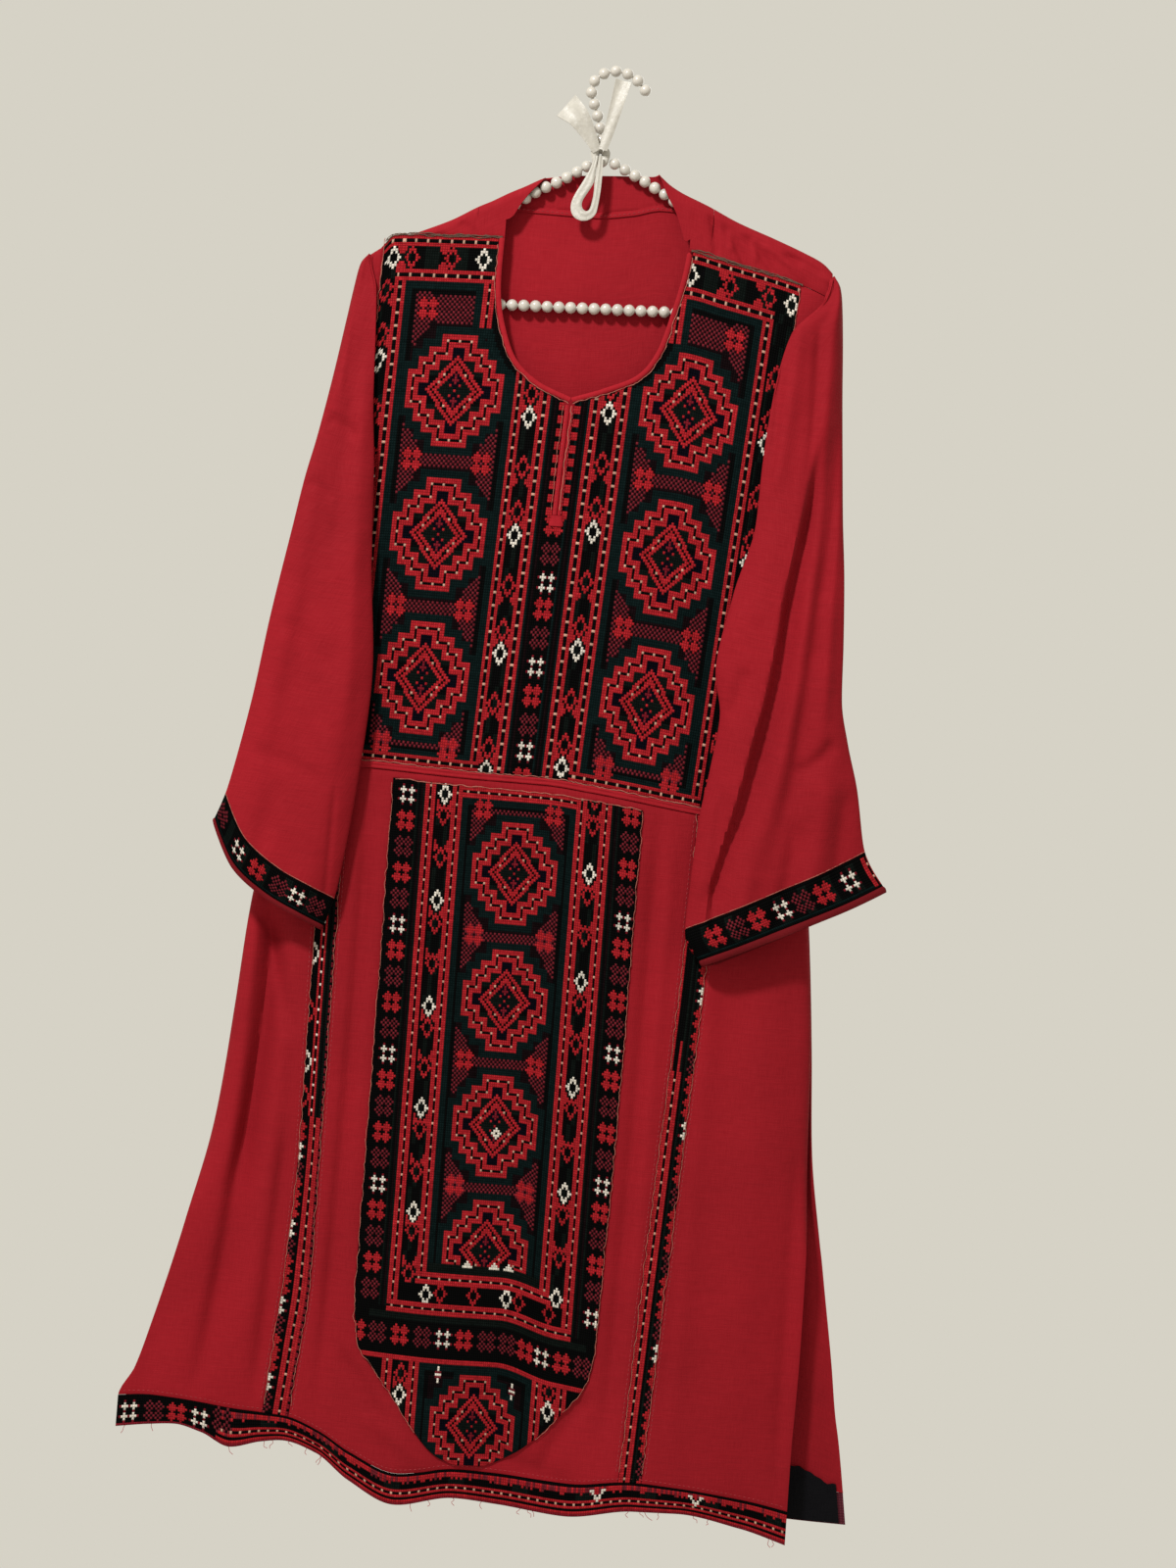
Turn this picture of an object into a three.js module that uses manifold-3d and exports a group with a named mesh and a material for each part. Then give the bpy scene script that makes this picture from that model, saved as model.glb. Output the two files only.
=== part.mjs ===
// Embroidered kurta on a beaded hanger, hanging flat.
// Millimetres. +Z up, +X to the viewer's right, the front faces -Y.
// The origin is where the hanger's hook bears on what holds it.

import * as THREE from 'three';
import { mergeVertices } from 'three/addons/utils/BufferGeometryUtils.js';
import Module from 'manifold-3d';

const wasm = await Module();
wasm.setup();

// ---------------------------------------------------------------- driving dimensions

const CLOTH = 1.5;              // wall of the plain cloth
const WORKED = 1.8;             // wall of the embroidered cloth, which is thicker
const SEAM_GAP = 0.3;           // between two pieces that are sewn together
const SHOULDER_RADIUS = 7.4;    // the roll of the shoulders over the hanger's arms
const WAIST_PIPING = 6;         // width of the piping at the waist
const NECK_BINDING = 4.5;       // width of the binding round the neck
const SLIT_BINDING = 5.5;       // width of each binding of the neck slit
const SLIT_BOTTOM = -366;       // where the neck slit ends
const BEAD_RADIUS = 4.8;        // the hanger's beads
const BEAD_PITCH = 9.6;
const WIRE_RADIUS = 1.4;        // the wire that the beads are threaded on
const GRID_X = 40;              // facets of the draped cloth
const GRID_Z = 60;
const OUTLINE_STEP = 36;        // facets of the outlines
const HEM_STEP = 20;
const SIDE_ROUNDING = 26;       // how far from a side seam the two layers close up
const UNDERARM = -345;
const SIDE_SLIT_TOP = -894;     // the side seams are open below this

const colours = {
  red: 0xa21a26,
  worked: 0x2a1418,
  binding: 0xb8202e,
  black: 0x0c0c0e,
  pearl: 0xdcd8c8,
  satin: 0xe4dccb,
};

// ---------------------------------------------------------------- helpers on tables

// A smooth function through the rows of a table with named columns.
function through(table, key, value) {
  const rows = [...table].sort((a, b) => a[key] - b[key]);
  const xs = rows.map((row) => row[key]);
  const ys = rows.map((row) => row[value]);
  const last = xs.length - 1;
  const chord = xs.slice(1).map((x, i) => (ys[i + 1] - ys[i]) / (x - xs[i]));
  const slope = xs.map((x, i) => {
    if (i === 0) return chord[0];
    if (i === last) return chord[last - 1];
    const [before, after] = [chord[i - 1], chord[i]];
    return before * after <= 0 ? 0 : (2 * before * after) / (before + after);
  });
  return (at) => {
    if (at <= xs[0]) return ys[0];
    if (at >= xs[last]) return ys[last];
    let i = 0;
    while (at > xs[i + 1]) i += 1;
    const width = xs[i + 1] - xs[i];
    const t = (at - xs[i]) / width;
    const rise = t * t * (3 - 2 * t);
    const hold = width * t * (1 - t);
    return ys[i] + (ys[i + 1] - ys[i]) * rise
      + hold * (slope[i] * (1 - t) - slope[i + 1] * t);
  };
}

const blend = (from, to, t) => from + (to - from) * t;
const smooth = (low, high, at) => THREE.MathUtils.smoothstep(at, low, high);

// ---------------------------------------------------------------- outlines of the garment

// The top line of the cloth across the shoulders and, between them, round the neck.
const ridge = through([
  { x: -196, z: -167 }, { x: -190, z: -162.5 }, { x: -174, z: -151.5 }, { x: -152, z: -142 },
  { x: -127, z: -132 }, { x: -105, z: -120.8 }, { x: -96, z: -116.5 }, { x: -80, z: -107 },
  { x: -70, z: -101 }, { x: -57, z: -92 }, { x: -53, z: -89.5 }, { x: -44, z: -82.5 },
  { x: -30, z: -77.5 }, { x: -10, z: -76 }, { x: 20, z: -75.5 }, { x: 35, z: -76 },
  { x: 43, z: -82.5 }, { x: 50, z: -88 }, { x: 60, z: -95.5 }, { x: 82, z: -106.5 },
  { x: 107, z: -119 }, { x: 139, z: -131.5 }, { x: 165, z: -140 }, { x: 179, z: -145 },
  { x: 190, z: -153 }, { x: 194, z: -157 },
], 'x', 'z');

// The garment's own side edges: armhole, side seam, then the open edge below the slit.
const sides = [
  { z: -150, left: -193, right: 190, backRight: 190 },
  { z: -200, left: -190, right: 185, backRight: 186 },
  { z: -280, left: -188.5, right: 181, backRight: 182 },
  { z: UNDERARM, left: -188.5, right: 181, backRight: 182 },
  { z: -450, left: -196, right: 186, backRight: 187 },
  { z: -590, left: -222, right: 196, backRight: 197 },
  { z: -699, left: -248, right: 209, backRight: 210 },
  { z: -786, left: -256.5, right: 215.5, backRight: 216.5 },
  { z: -873, left: -265, right: 219.5, backRight: 225 },
  { z: -960, left: -280, right: 224.5, backRight: 241 },
  { z: -1046, left: -302, right: 226, backRight: 256.5 },
  { z: -1110, left: -326, right: 226, backRight: 268 },
  { z: -1191, left: -324, right: 227.5, backRight: 281 },
];
const leftEdge = through(sides, 'z', 'left');
const rightEdge = through(sides, 'z', 'right');
const backRightEdge = through(sides, 'z', 'backRight');
const backLeftEdge = (z) => leftEdge(z) + 3 * (1 - smooth(-700, -450, z));

// Where the yoke's top edge is sewn to the shoulders, and its bottom edge at the waist.
const yokeTop = through([
  { x: -193, z: -171 }, { x: -186, z: -163 }, { x: -180, z: -155 }, { x: -172, z: -147 },
  { x: -130, z: -144.5 }, { x: -82, z: -142.8 }, { x: 69, z: -142 }, { x: 100, z: -148 },
  { x: 164, z: -163 }, { x: 190, z: -173 },
], 'x', 'z');
const yokeBottom = through([
  { x: -225, z: -576 }, { x: -166, z: -577 }, { x: -72, z: -580 }, { x: -15, z: -580.5 },
  { x: 20, z: -583.5 }, { x: 112, z: -595 }, { x: 200, z: -604 },
], 'x', 'z');
const yokeSides = [
  { z: -140, left: -179.5, right: 166 },
  { z: -163, left: -180.5, right: 164 },
  { z: -233, left: -181.5, right: 155 },
  { z: -273, left: -182, right: 152 },
  { z: -395, left: -184, right: 145 },
  { z: -513, left: -190, right: 141 },
  { z: -605, left: -193, right: 138.5 },
];
const yokeLeft = through(yokeSides, 'z', 'left');
const yokeRight = through(yokeSides, 'z', 'right');

// The hem band of the front and the bottom edge of the back.
const hemFront = [
  { x: -327, top: -1109.5, bottom: -1135 },
  { x: -298, top: -1106.5, bottom: -1130 },
  { x: -276, top: -1107.5, bottom: -1128 },
  { x: -254, top: -1110, bottom: -1133.5 },
  { x: -230, top: -1113.5, bottom: -1144.5 },
  { x: -206, top: -1115.5, bottom: -1139 },
  { x: -189, top: -1117, bottom: -1137 },
  { x: -160, top: -1127, bottom: -1145 },
  { x: -132, top: -1142, bottom: -1164 },
  { x: -93, top: -1155, bottom: -1180 },
  { x: -46, top: -1148.5, bottom: -1171.5 },
  { x: -10, top: -1150.5, bottom: -1175 },
  { x: 45, top: -1155, bottom: -1181 },
  { x: 102, top: -1148, bottom: -1171 },
  { x: 137, top: -1150, bottom: -1170 },
  { x: 190, top: -1157, bottom: -1180 },
  { x: 228, top: -1164, bottom: -1191 },
];
const hemTop = through(hemFront, 'x', 'top');
const hemBottom = through(hemFront, 'x', 'bottom');
const HEM_BAND_BACK = 26;
const HEM_FACING = 44;
const hemBack = through([
  { x: -325, z: -1127 }, { x: -220, z: -1131 }, { x: -110, z: -1158 }, { x: 0, z: -1164 },
  { x: 110, z: -1163 }, { x: 226, z: -1174 }, { x: 281, z: -1177 },
], 'x', 'z');

// The two embroidered strips let into the skirt.
const strips = [
  { z: -575, leftOuter: -193, leftInner: -177, rightInner: 112, rightOuter: 131 },
  { z: -720, leftOuter: -193.5, leftInner: -176, rightInner: 108.5, rightOuter: 128 },
  { z: -894, leftOuter: -192.5, leftInner: -175, rightInner: 100, rightOuter: 119.5 },
  { z: -1003, leftOuter: -197, leftInner: -175, rightInner: 94.5, rightOuter: 114 },
  { z: -1060, leftOuter: -201.5, leftInner: -179.5, rightInner: 92, rightOuter: 111 },
  { z: -1160, leftOuter: -210, leftInner: -189, rightInner: 87.5, rightOuter: 106 },
];
const stripEdge = (column) => through(strips, 'z', column);

// The long panel applied to the skirt: straight sides, then a tongue.
const pocketSides = [
  { z: -589, left: -139, right: 66.5 },
  { z: -851, left: -138, right: 65 },
  { z: -1007, left: -138, right: 62 },
  { z: -1051, left: -133, right: 60.5 },
  { z: -1072, left: -118, right: 56 },
  { z: -1094, left: -100, right: 41 },
  { z: -1120, left: -80.5, right: 17.5 },
  { z: -1138, left: -62, right: -7 },
  { z: -1144.6, left: -46, right: -24 },
];
const pocketTop = (x) => yokeBottom(x) - 12;

// Half of the neck opening each side of the point of the V, from the shoulder down.
const neckLeft = [[-82, -128], [-82, -187], [-76, -216], [-65, -241], [-47, -257], [-18, -269]];
const neckRight = [[-18, -269], [8, -259.5], [35, -246], [48, -228], [60, -187], [66, -158],
  [69, -128]];
const SLIT_TOP_X = -18;
const SLIT_BOTTOM_X = -22;

// ---------------------------------------------------------------- how deep the cloth lies

const frontLevel = through([
  { z: -120, depth: 5.9 }, { z: -200, depth: 6.4 }, { z: -300, depth: 9.5 }, { z: -450, depth: 11 },
  { z: -590, depth: 12 }, { z: -900, depth: 14 }, { z: -1191, depth: 17 },
], 'z', 'depth');
const backLevel = through([
  { z: -120, depth: 5.9 }, { z: -200, depth: 6.4 }, { z: -300, depth: 8 }, { z: -590, depth: 9 },
  { z: -900, depth: 11 }, { z: -1191, depth: 15 },
], 'z', 'depth');

const CLOSED = 1;               // half the gap between the layers at a side seam
const WAVE_LENGTH = 200;
function closing(x, z, left, right) {
  const inside = Math.min(x - left(z), right(z) - x) / SIDE_ROUNDING;
  const round = Math.sqrt(1 - (1 - THREE.MathUtils.clamp(inside, 0, 1)) ** 2);
  const open = Math.max(smooth(UNDERARM - 15, UNDERARM + 25, z), 1 - smooth(SIDE_SLIT_TOP - 70, SIDE_SLIT_TOP, z));
  return blend(round, 1, open);
}
function frontDepth(x, z) {
  const flare = 1 - smooth(-1191, -800, z);
  const wave = 6 * flare * Math.sin((2 * Math.PI * (x + 130)) / WAVE_LENGTH);
  return CLOSED + (frontLevel(z) + wave - CLOSED) * closing(x, z, leftEdge, rightEdge);
}
function backDepth(x, z) {
  const flare = 1 - smooth(-1191, -750, z);
  const wave = 5 * flare * Math.sin((2 * Math.PI * (x - 20)) / (WAVE_LENGTH * 1.2));
  return CLOSED + (backLevel(z) + wave - CLOSED) * closing(x, z, backLeftEdge, backRightEdge);
}

// ---------------------------------------------------------------- solids

const group = new THREE.Group();

function addPiece(name, geometry, colour, roughness = 0.85, metalness = 0) {
  const material = new THREE.MeshStandardMaterial({ color: colour, roughness, metalness });
  const mesh = new THREE.Mesh(geometry, material);
  mesh.name = name;
  group.add(mesh);
}

function geometryFrom(vertices, triangles) {
  const geometry = new THREE.BufferGeometry();
  geometry.setAttribute('position', new THREE.Float32BufferAttribute(vertices, 3));
  geometry.setIndex(triangles);
  return geometry;
}

// A closed wall between two grids of points: rows[i][j] is on its outer face.
function gridWall(outer, inner) {
  const rowCount = outer.length;
  const columnCount = outer[0].length;
  const vertices = [...outer.flat(), ...inner.flat()].flatMap((point) => [point.x, point.y, point.z]);
  const half = rowCount * columnCount;
  const at = (i, j) => i * columnCount + j;
  const triangles = [];
  const quad = (a, b, c, d) => triangles.push(a, b, c, a, c, d);
  for (let i = 0; i < rowCount - 1; i += 1) {
    for (let j = 0; j < columnCount - 1; j += 1) {
      quad(at(i, j), at(i + 1, j), at(i + 1, j + 1), at(i, j + 1));
      quad(half + at(i, j), half + at(i, j + 1), half + at(i + 1, j + 1), half + at(i + 1, j));
    }
  }
  for (let j = 0; j < columnCount - 1; j += 1) {
    const low = rowCount - 1;
    quad(at(0, j + 1), half + at(0, j + 1), half + at(0, j), at(0, j));
    quad(at(low, j + 1), at(low, j), half + at(low, j), half + at(low, j + 1));
  }
  for (let i = 0; i < rowCount - 1; i += 1) {
    const end = columnCount - 1;
    quad(at(i + 1, 0), at(i, 0), half + at(i, 0), half + at(i + 1, 0));
    quad(at(i, end), at(i + 1, end), half + at(i + 1, end), half + at(i, end));
  }
  return geometryFrom(vertices, triangles);
}

// The same grid moved inwards by a thickness, along the surface's own normals.
function movedIn(rows, thickness) {
  const lastRow = rows.length - 1;
  const lastColumn = rows[0].length - 1;
  return rows.map((row, i) => row.map((point, j) => {
    const along = new THREE.Vector3()
      .subVectors(row[Math.min(j + 1, lastColumn)], row[Math.max(j - 1, 0)]);
    const across = new THREE.Vector3()
      .subVectors(rows[Math.min(i + 1, lastRow)][j], rows[Math.max(i - 1, 0)][j]);
    const normal = new THREE.Vector3().crossVectors(across, along).normalize();
    return point.clone().addScaledVector(normal, -thickness);
  }));
}

function toManifold(geometry) {
  const bare = geometry.clone();
  bare.deleteAttribute('normal');
  bare.deleteAttribute('uv');
  const merged = mergeVertices(bare, 1e-4);
  return new wasm.Manifold(new wasm.Mesh({
    numProp: 3,
    vertProperties: new Float32Array(merged.attributes.position.array),
    triVerts: new Uint32Array(merged.index.array),
  }));
}

function fromManifold(solid) {
  const mesh = solid.getMesh();
  return geometryFrom(Array.from(mesh.vertProperties), Array.from(mesh.triVerts));
}

// A flat outline in X and Z, pushed through the whole depth of the garment.
function prism(outline) {
  const shape = new THREE.Shape(outline.map(([x, z]) => new THREE.Vector2(x, z)));
  const geometry = new THREE.ExtrudeGeometry(shape, { depth: 160, bevelEnabled: false });
  geometry.rotateX(Math.PI / 2);
  geometry.translate(0, 80, 0);
  return toManifold(geometry);
}

// A sheet that follows the front or the back layer, cut to an outline. `lift` is how far
// its inner face lies outside that layer's inner face.
function drape(outline, { facing, lift = 0, thickness = CLOTH }) {
  const depth = facing === 'front' ? frontDepth : backDepth;
  const sign = facing === 'front' ? -1 : 1;
  const xs = outline.map((point) => point[0]);
  const zs = outline.map((point) => point[1]);
  const firstX = Math.floor(Math.min(...xs) / GRID_X) - 1;
  const lastX = Math.ceil(Math.max(...xs) / GRID_X) + 1;
  const firstZ = Math.ceil(Math.max(...zs) / GRID_Z) + 1;
  const lastZ = Math.floor(Math.min(...zs) / GRID_Z) - 1;
  const layer = (level) => {
    const rows = [];
    for (let i = firstZ; i >= lastZ; i -= 1) {
      const row = [];
      for (let j = firstX; j <= lastX; j += 1) {
        const [x, z] = [j * GRID_X, i * GRID_Z];
        row.push(new THREE.Vector3(x, sign * (depth(x, z) + level), z));
      }
      rows.push(sign < 0 ? row : row.reverse());
    }
    return rows;
  };
  return toManifold(gridWall(layer(lift + thickness), layer(lift))).intersect(prism(outline));
}

function sampled(from, to, point, steps = Math.max(Math.round(Math.abs(to - from) / OUTLINE_STEP), 1)) {
  return Array.from({ length: steps + 1 }, (_, i) => point(blend(from, to, i / steps)));
}
// Two pieces that meet along a line share its corners: `at` is straight between them.
function facetedLine(line, corners) {
  const at = (x) => {
    const next = Math.min(Math.max(corners.findIndex((corner) => corner >= x), 1), corners.length - 1);
    const t = (x - corners[next - 1]) / (corners[next] - corners[next - 1]);
    return blend(line(corners[next - 1]), line(corners[next]), t);
  };
  const points = (from, to) => {
    const inside = corners.filter((corner) => corner > Math.min(from, to) + 1 && corner < Math.max(from, to) - 1);
    if (from > to) inside.reverse();
    return [from, ...inside, to];
  };
  return { at, points };
}
const everyX = (step) => Array.from({ length: 40 }, (_, i) => (i - 20) * step);
// An outline between two faceted lines of z over x and two edges of x over z.
function between({ left, right, top, bottom, topLeft, topRight, bottomLeft, bottomRight }) {
  return [
    ...top.points(topLeft, topRight).map((x) => [x, top.at(x)]),
    ...sampled(top.at(topRight), bottom.at(bottomRight), (z) => [right(z), z]).slice(1, -1),
    ...bottom.points(bottomRight, bottomLeft).map((x) => [x, bottom.at(x)]),
    ...sampled(bottom.at(bottomLeft), top.at(topLeft), (z) => [left(z), z]).slice(1, -1),
  ];
}

// ---------------------------------------------------------------- shoulders and neck band

// A point on the layer that rolls over the hanger's arms. `reach` is the distance over the
// cloth from the top line: negative behind, positive in front.
function overShoulder(x, reach, inwards = 0) {
  const angle = THREE.MathUtils.clamp(reach / SHOULDER_RADIUS, -Math.PI / 2, Math.PI / 2);
  const down = Math.max(Math.abs(reach) - (SHOULDER_RADIUS * Math.PI) / 2, 0);
  const centre = ridge(x) - SHOULDER_RADIUS;
  const radius = SHOULDER_RADIUS - inwards;
  return new THREE.Vector3(x, -radius * Math.sin(angle), centre + radius * Math.cos(angle) - down);
}
function reachTo(x, z) {
  const centre = ridge(x) - SHOULDER_RADIUS;
  if (z <= centre) return (SHOULDER_RADIUS * Math.PI) / 2 + centre - z;
  return SHOULDER_RADIUS * Math.acos(Math.min((z - centre) / SHOULDER_RADIUS, 1));
}

// The seam of the neck band behind and in front, and its free edge: reach over the shoulder.
const bandSeamBehind = through([
  { x: -105, z: -122 }, { x: -95, z: -119.5 }, { x: -75, z: -118 }, { x: -10, z: -118.5 },
  { x: 20, z: -114.5 }, { x: 45, z: -108.5 }, { x: 70, z: -110 }, { x: 87, z: -111 },
], 'x', 'z');
const BAND_LEFT = -105;
const BAND_RIGHT = 87;
const bandFront = through([
  { x: -105, z: -121.6 }, { x: -98, z: -123.5 }, { x: -90, z: -126.7 }, { x: -82, z: -127 },
  { x: -77, z: -124 }, { x: -72, z: -115 }, { x: -66, z: -106 }, { x: -60, z: -98.5 },
  { x: -56, z: -93.5 }, { x: -53, z: -89.6 }, { x: 40, z: -79.6 }, { x: 43, z: -87 },
  { x: 47, z: -95.6 }, { x: 56, z: -111 }, { x: 62, z: -126 }, { x: 65, z: -134 },
  { x: 70, z: -131.5 }, { x: 78, z: -128 }, { x: 87, z: -124 },
], 'x', 'z');
const bandTopBehind = through([
  { x: -53, z: -89.6 }, { x: -48, z: -88 }, { x: -44, z: -87 }, { x: -30, z: -85 },
  { x: -10, z: -83.6 }, { x: 20, z: -81.5 }, { x: 35, z: -80.8 }, { x: 40, z: -79.6 },
], 'x', 'z');
const NECK_RANGE = [-53, 40];
const BAND_SEAM_COLUMNS = [-104.7, -98, -88, -82.3, -75, -44, -10, 20, 50, 65, 69.3, 74, 80, 86.7];
const ARM_COLUMNS = [-192, -168, -144, -122, -105.3, 87.3, 108, 130, 152, 172, 188];
const SHOULDER_COLUMNS = [...ARM_COLUMNS, ...BAND_SEAM_COLUMNS].sort((a, b) => a - b);
function bandFreeEdge(x) {
  const standing = x > NECK_RANGE[0] && x < NECK_RANGE[1];
  return standing ? -reachTo(x, bandTopBehind(x)) : reachTo(x, bandFront(x));
}

// A wall over the shoulder between two reaches, with one column for each x.
function shoulderWall(xs, from, to, rowCount) {
  const layer = (inwards) => Array.from({ length: rowCount }, (_, i) => xs.map((x) => (
    overShoulder(x, blend(from(x), to(x), i / (rowCount - 1)), inwards))));
  return gridWall(layer(0), layer(CLOTH));
}

function makeNeckBand() {
  const between = [-66, -60, -56.5, ...NECK_RANGE, -48.5, 35, 43, 46.5, 56, 62];
  const xs = [...BAND_SEAM_COLUMNS, ...between].sort((a, b) => a - b);
  const seam = (x) => -Math.max(reachTo(x, bandSeamBehind(x) + SEAM_GAP), 2 * SEAM_GAP);
  addPiece('neck_band', shoulderWall(xs, seam, bandFreeEdge, 9), colours.red);
}

// From the top line down to the yoke, and under the band's end down to the yoke.
function makeFrontShoulder(side, outerColumns, neckColumns) {
  const bottom = (x) => reachTo(x, yokeTop(x) + 2 * SEAM_GAP);
  const underBand = (x) => Math.max(reachTo(x, bandFront(x) - 2 * SEAM_GAP), 2 * SEAM_GAP);
  const outer = toManifold(shoulderWall(outerColumns, () => SEAM_GAP, bottom, 5));
  const neck = toManifold(shoulderWall(neckColumns, underBand, bottom, 3));
  addPiece(`front_shoulder_${side}`, fromManifold(outer.add(neck)), colours.red);
}

// ---------------------------------------------------------------- back

const BACK_TURN = -186;         // above this the back follows the roll of the shoulder
const ROLL_STEPS = [0, 3, 6, 9, 12.5];
const BACK_ROWS = 13;
function makeBack() {
  const start = (x) => {
    const underBand = x > BAND_LEFT && x < BAND_RIGHT;
    return underBand ? -Math.max(reachTo(x, bandSeamBehind(x) - SEAM_GAP), 2 * SEAM_GAP) : -SEAM_GAP;
  };
  const [first, last] = [SHOULDER_COLUMNS[0], SHOULDER_COLUMNS[SHOULDER_COLUMNS.length - 1]];
  const columns = SHOULDER_COLUMNS.filter((x) => x !== -82.3 && x !== 65 && x !== 74);
  const share = (x) => (x - first) / (last - first);
  const acrossAt = (x, z) => blend(backLeftEdge(z), backRightEdge(z), share(x));
  const rolled = (inwards) => ROLL_STEPS.map((step) => (
    columns.map((x) => overShoulder(x, start(x) - step, inwards))));
  const hanging = (top, bottom, count, lift) => Array.from({ length: count }, (_, i) => columns.map((column) => {
    const low = bottom(acrossAt(column, -1150));
    const z = blend(top(acrossAt(column, -1150)), low, i / (count - 1));
    const x = acrossAt(column, z);
    return new THREE.Vector3(x, backDepth(x, z) + lift, z);
  }));
  const fromBehind = (rows) => rows.map((row) => [...row].reverse());
  const bandTop = (x) => hemBack(x) + HEM_BAND_BACK;
  const panel = (inwards) => {
    const low = hanging(() => BACK_TURN, (x) => bandTop(x) + SEAM_GAP, BACK_ROWS, CLOTH - inwards);
    return fromBehind([...rolled(inwards), ...low]);
  };
  addPiece('back_panel', gridWall(panel(0), panel(CLOTH)), colours.red);

  const sheet = (top, bottom, outerLift, innerLift) => gridWall(
    fromBehind(hanging(top, bottom, 3, outerLift)), fromBehind(hanging(top, bottom, 3, innerLift)));
  addPiece('hem_band_back', sheet(bandTop, hemBack, WORKED, 0), colours.worked);
  const facingTop = (x) => hemBack(x) + HEM_FACING;
  const facing = sheet(facingTop, (x) => hemBack(x) + 1, -2 * SEAM_GAP, -2 * SEAM_GAP - 1);
  addPiece('hem_facing_back', facing, colours.black);
}

// ---------------------------------------------------------------- front

function offsetLine(points, distance) {
  return points.map(([x, z], i) => {
    const [beforeX, beforeZ] = points[Math.max(i - 1, 0)];
    const [afterX, afterZ] = points[Math.min(i + 1, points.length - 1)];
    const length = Math.hypot(afterX - beforeX, afterZ - beforeZ);
    return [x + (distance * (afterZ - beforeZ)) / length, z - (distance * (afterX - beforeX)) / length];
  });
}
function neckOutline(outward) {
  const side = (points) => {
    const curve = new THREE.SplineCurve(points.map(([x, z]) => new THREE.Vector2(x, z)));
    return curve.getPoints(9).map((point) => [point.x, point.y]);
  };
  const line = [...side(neckLeft), ...side(neckRight).slice(1)];
  return [[line[0][0] - outward, -60], ...offsetLine(line, outward), [69 + outward, -60]];
}
function slitOutline(leftOf, rightOf, top, bottom) {
  const lean = (SLIT_BOTTOM_X - SLIT_TOP_X) / (SLIT_BOTTOM + 269);
  const middle = (z) => SLIT_TOP_X + lean * (z + 269);
  return [
    [middle(top) + leftOf, top], [middle(top) + rightOf, top],
    [middle(bottom) + rightOf, bottom], [middle(bottom) + leftOf, bottom],
  ];
}

const topLine = facetedLine(yokeTop, SHOULDER_COLUMNS);
const lineBelow = (line, drop) => facetedLine((x) => line(x) - drop, everyX(HEM_STEP));
const waistLine = lineBelow(yokeBottom, 0);
const pipingLine = [SEAM_GAP, SEAM_GAP + WAIST_PIPING, 2 * SEAM_GAP + WAIST_PIPING]
  .map((drop) => lineBelow(yokeBottom, drop));

function makeYoke() {
  const outline = between({
    left: yokeLeft, right: yokeRight, top: topLine, bottom: waistLine,
    topLeft: yokeLeft(-155), topRight: yokeRight(-163), bottomLeft: yokeLeft(-577), bottomRight: yokeRight(-598),
  });
  const binding = SLIT_BINDING + SEAM_GAP;
  const neck = prism(neckOutline(NECK_BINDING + SEAM_GAP));
  const slit = prism(slitOutline(-binding, binding, -200, SLIT_BOTTOM - 10));
  const worked = drape(outline, { facing: 'front', thickness: WORKED });
  addPiece('front_yoke', fromManifold(worked.subtract(neck).subtract(slit)), colours.worked);

  const ring = prism(neckOutline(NECK_BINDING)).subtract(prism(neckOutline(0)));
  const square = [[-95, yokeTop(-95)], [80, yokeTop(69)], [80, -290], [-95, -290]];
  const cloth = drape(square, { facing: 'front', thickness: WORKED + 0.6 });
  const neckRing = cloth.intersect(ring);
  [['left', -1], ['right', 1]].forEach(([side, sign]) => {
    const [from, to] = [sign * SEAM_GAP / 2, sign * SLIT_BINDING].sort((a, b) => a - b);
    const [near, far] = [sign * SEAM_GAP / 2, sign * 120].sort((a, b) => a - b);
    const half = prism(slitOutline(near, far, -100, -300));
    addPiece(`neck_binding_${side}`, fromManifold(neckRing.intersect(half)), colours.binding);
    const strip = drape(slitOutline(from, to, -255, SLIT_BOTTOM), { facing: 'front', thickness: WORKED + 0.6 });
    const trimmed = strip.subtract(prism(neckOutline(NECK_BINDING + SEAM_GAP)));
    addPiece(`slit_binding_${side}`, fromManifold(trimmed), colours.binding);
  });
  const base = slitOutline(-SLIT_BINDING, SLIT_BINDING, SLIT_BOTTOM - SEAM_GAP, SLIT_BOTTOM - 9);
  addPiece('slit_stay', fromManifold(drape(base, { facing: 'front', thickness: WORKED + 0.6 })), colours.binding);
}

function makeFrontSides() {
  const left = between({
    left: (z) => leftEdge(z) + 0.2, right: (z) => yokeLeft(z) - SEAM_GAP,
    top: topLine, bottom: waistLine,
    topLeft: -191.9, topRight: yokeLeft(-155) - SEAM_GAP,
    bottomLeft: leftEdge(-576), bottomRight: yokeLeft(-577) - SEAM_GAP,
  });
  const right = between({
    left: (z) => yokeRight(z) + SEAM_GAP, right: (z) => rightEdge(z) - 0.2,
    top: topLine, bottom: waistLine,
    topLeft: yokeRight(-163) + SEAM_GAP, topRight: 187.9,
    bottomLeft: yokeRight(-598) + SEAM_GAP, bottomRight: rightEdge(-603),
  });
  addPiece('front_side_left', fromManifold(drape(left, { facing: 'front' })), colours.red);
  addPiece('front_side_right', fromManifold(drape(right, { facing: 'front' })), colours.red);
}

function makeWaistPiping() {
  const outline = between({
    left: leftEdge, right: rightEdge, top: pipingLine[0], bottom: pipingLine[1],
    topLeft: leftEdge(-576), topRight: rightEdge(-603),
    bottomLeft: leftEdge(-583), bottomRight: rightEdge(-609),
  });
  const piping = drape(outline, { facing: 'front', thickness: CLOTH + 1.2 });
  addPiece('waist_piping', fromManifold(piping), colours.binding);
}

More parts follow.
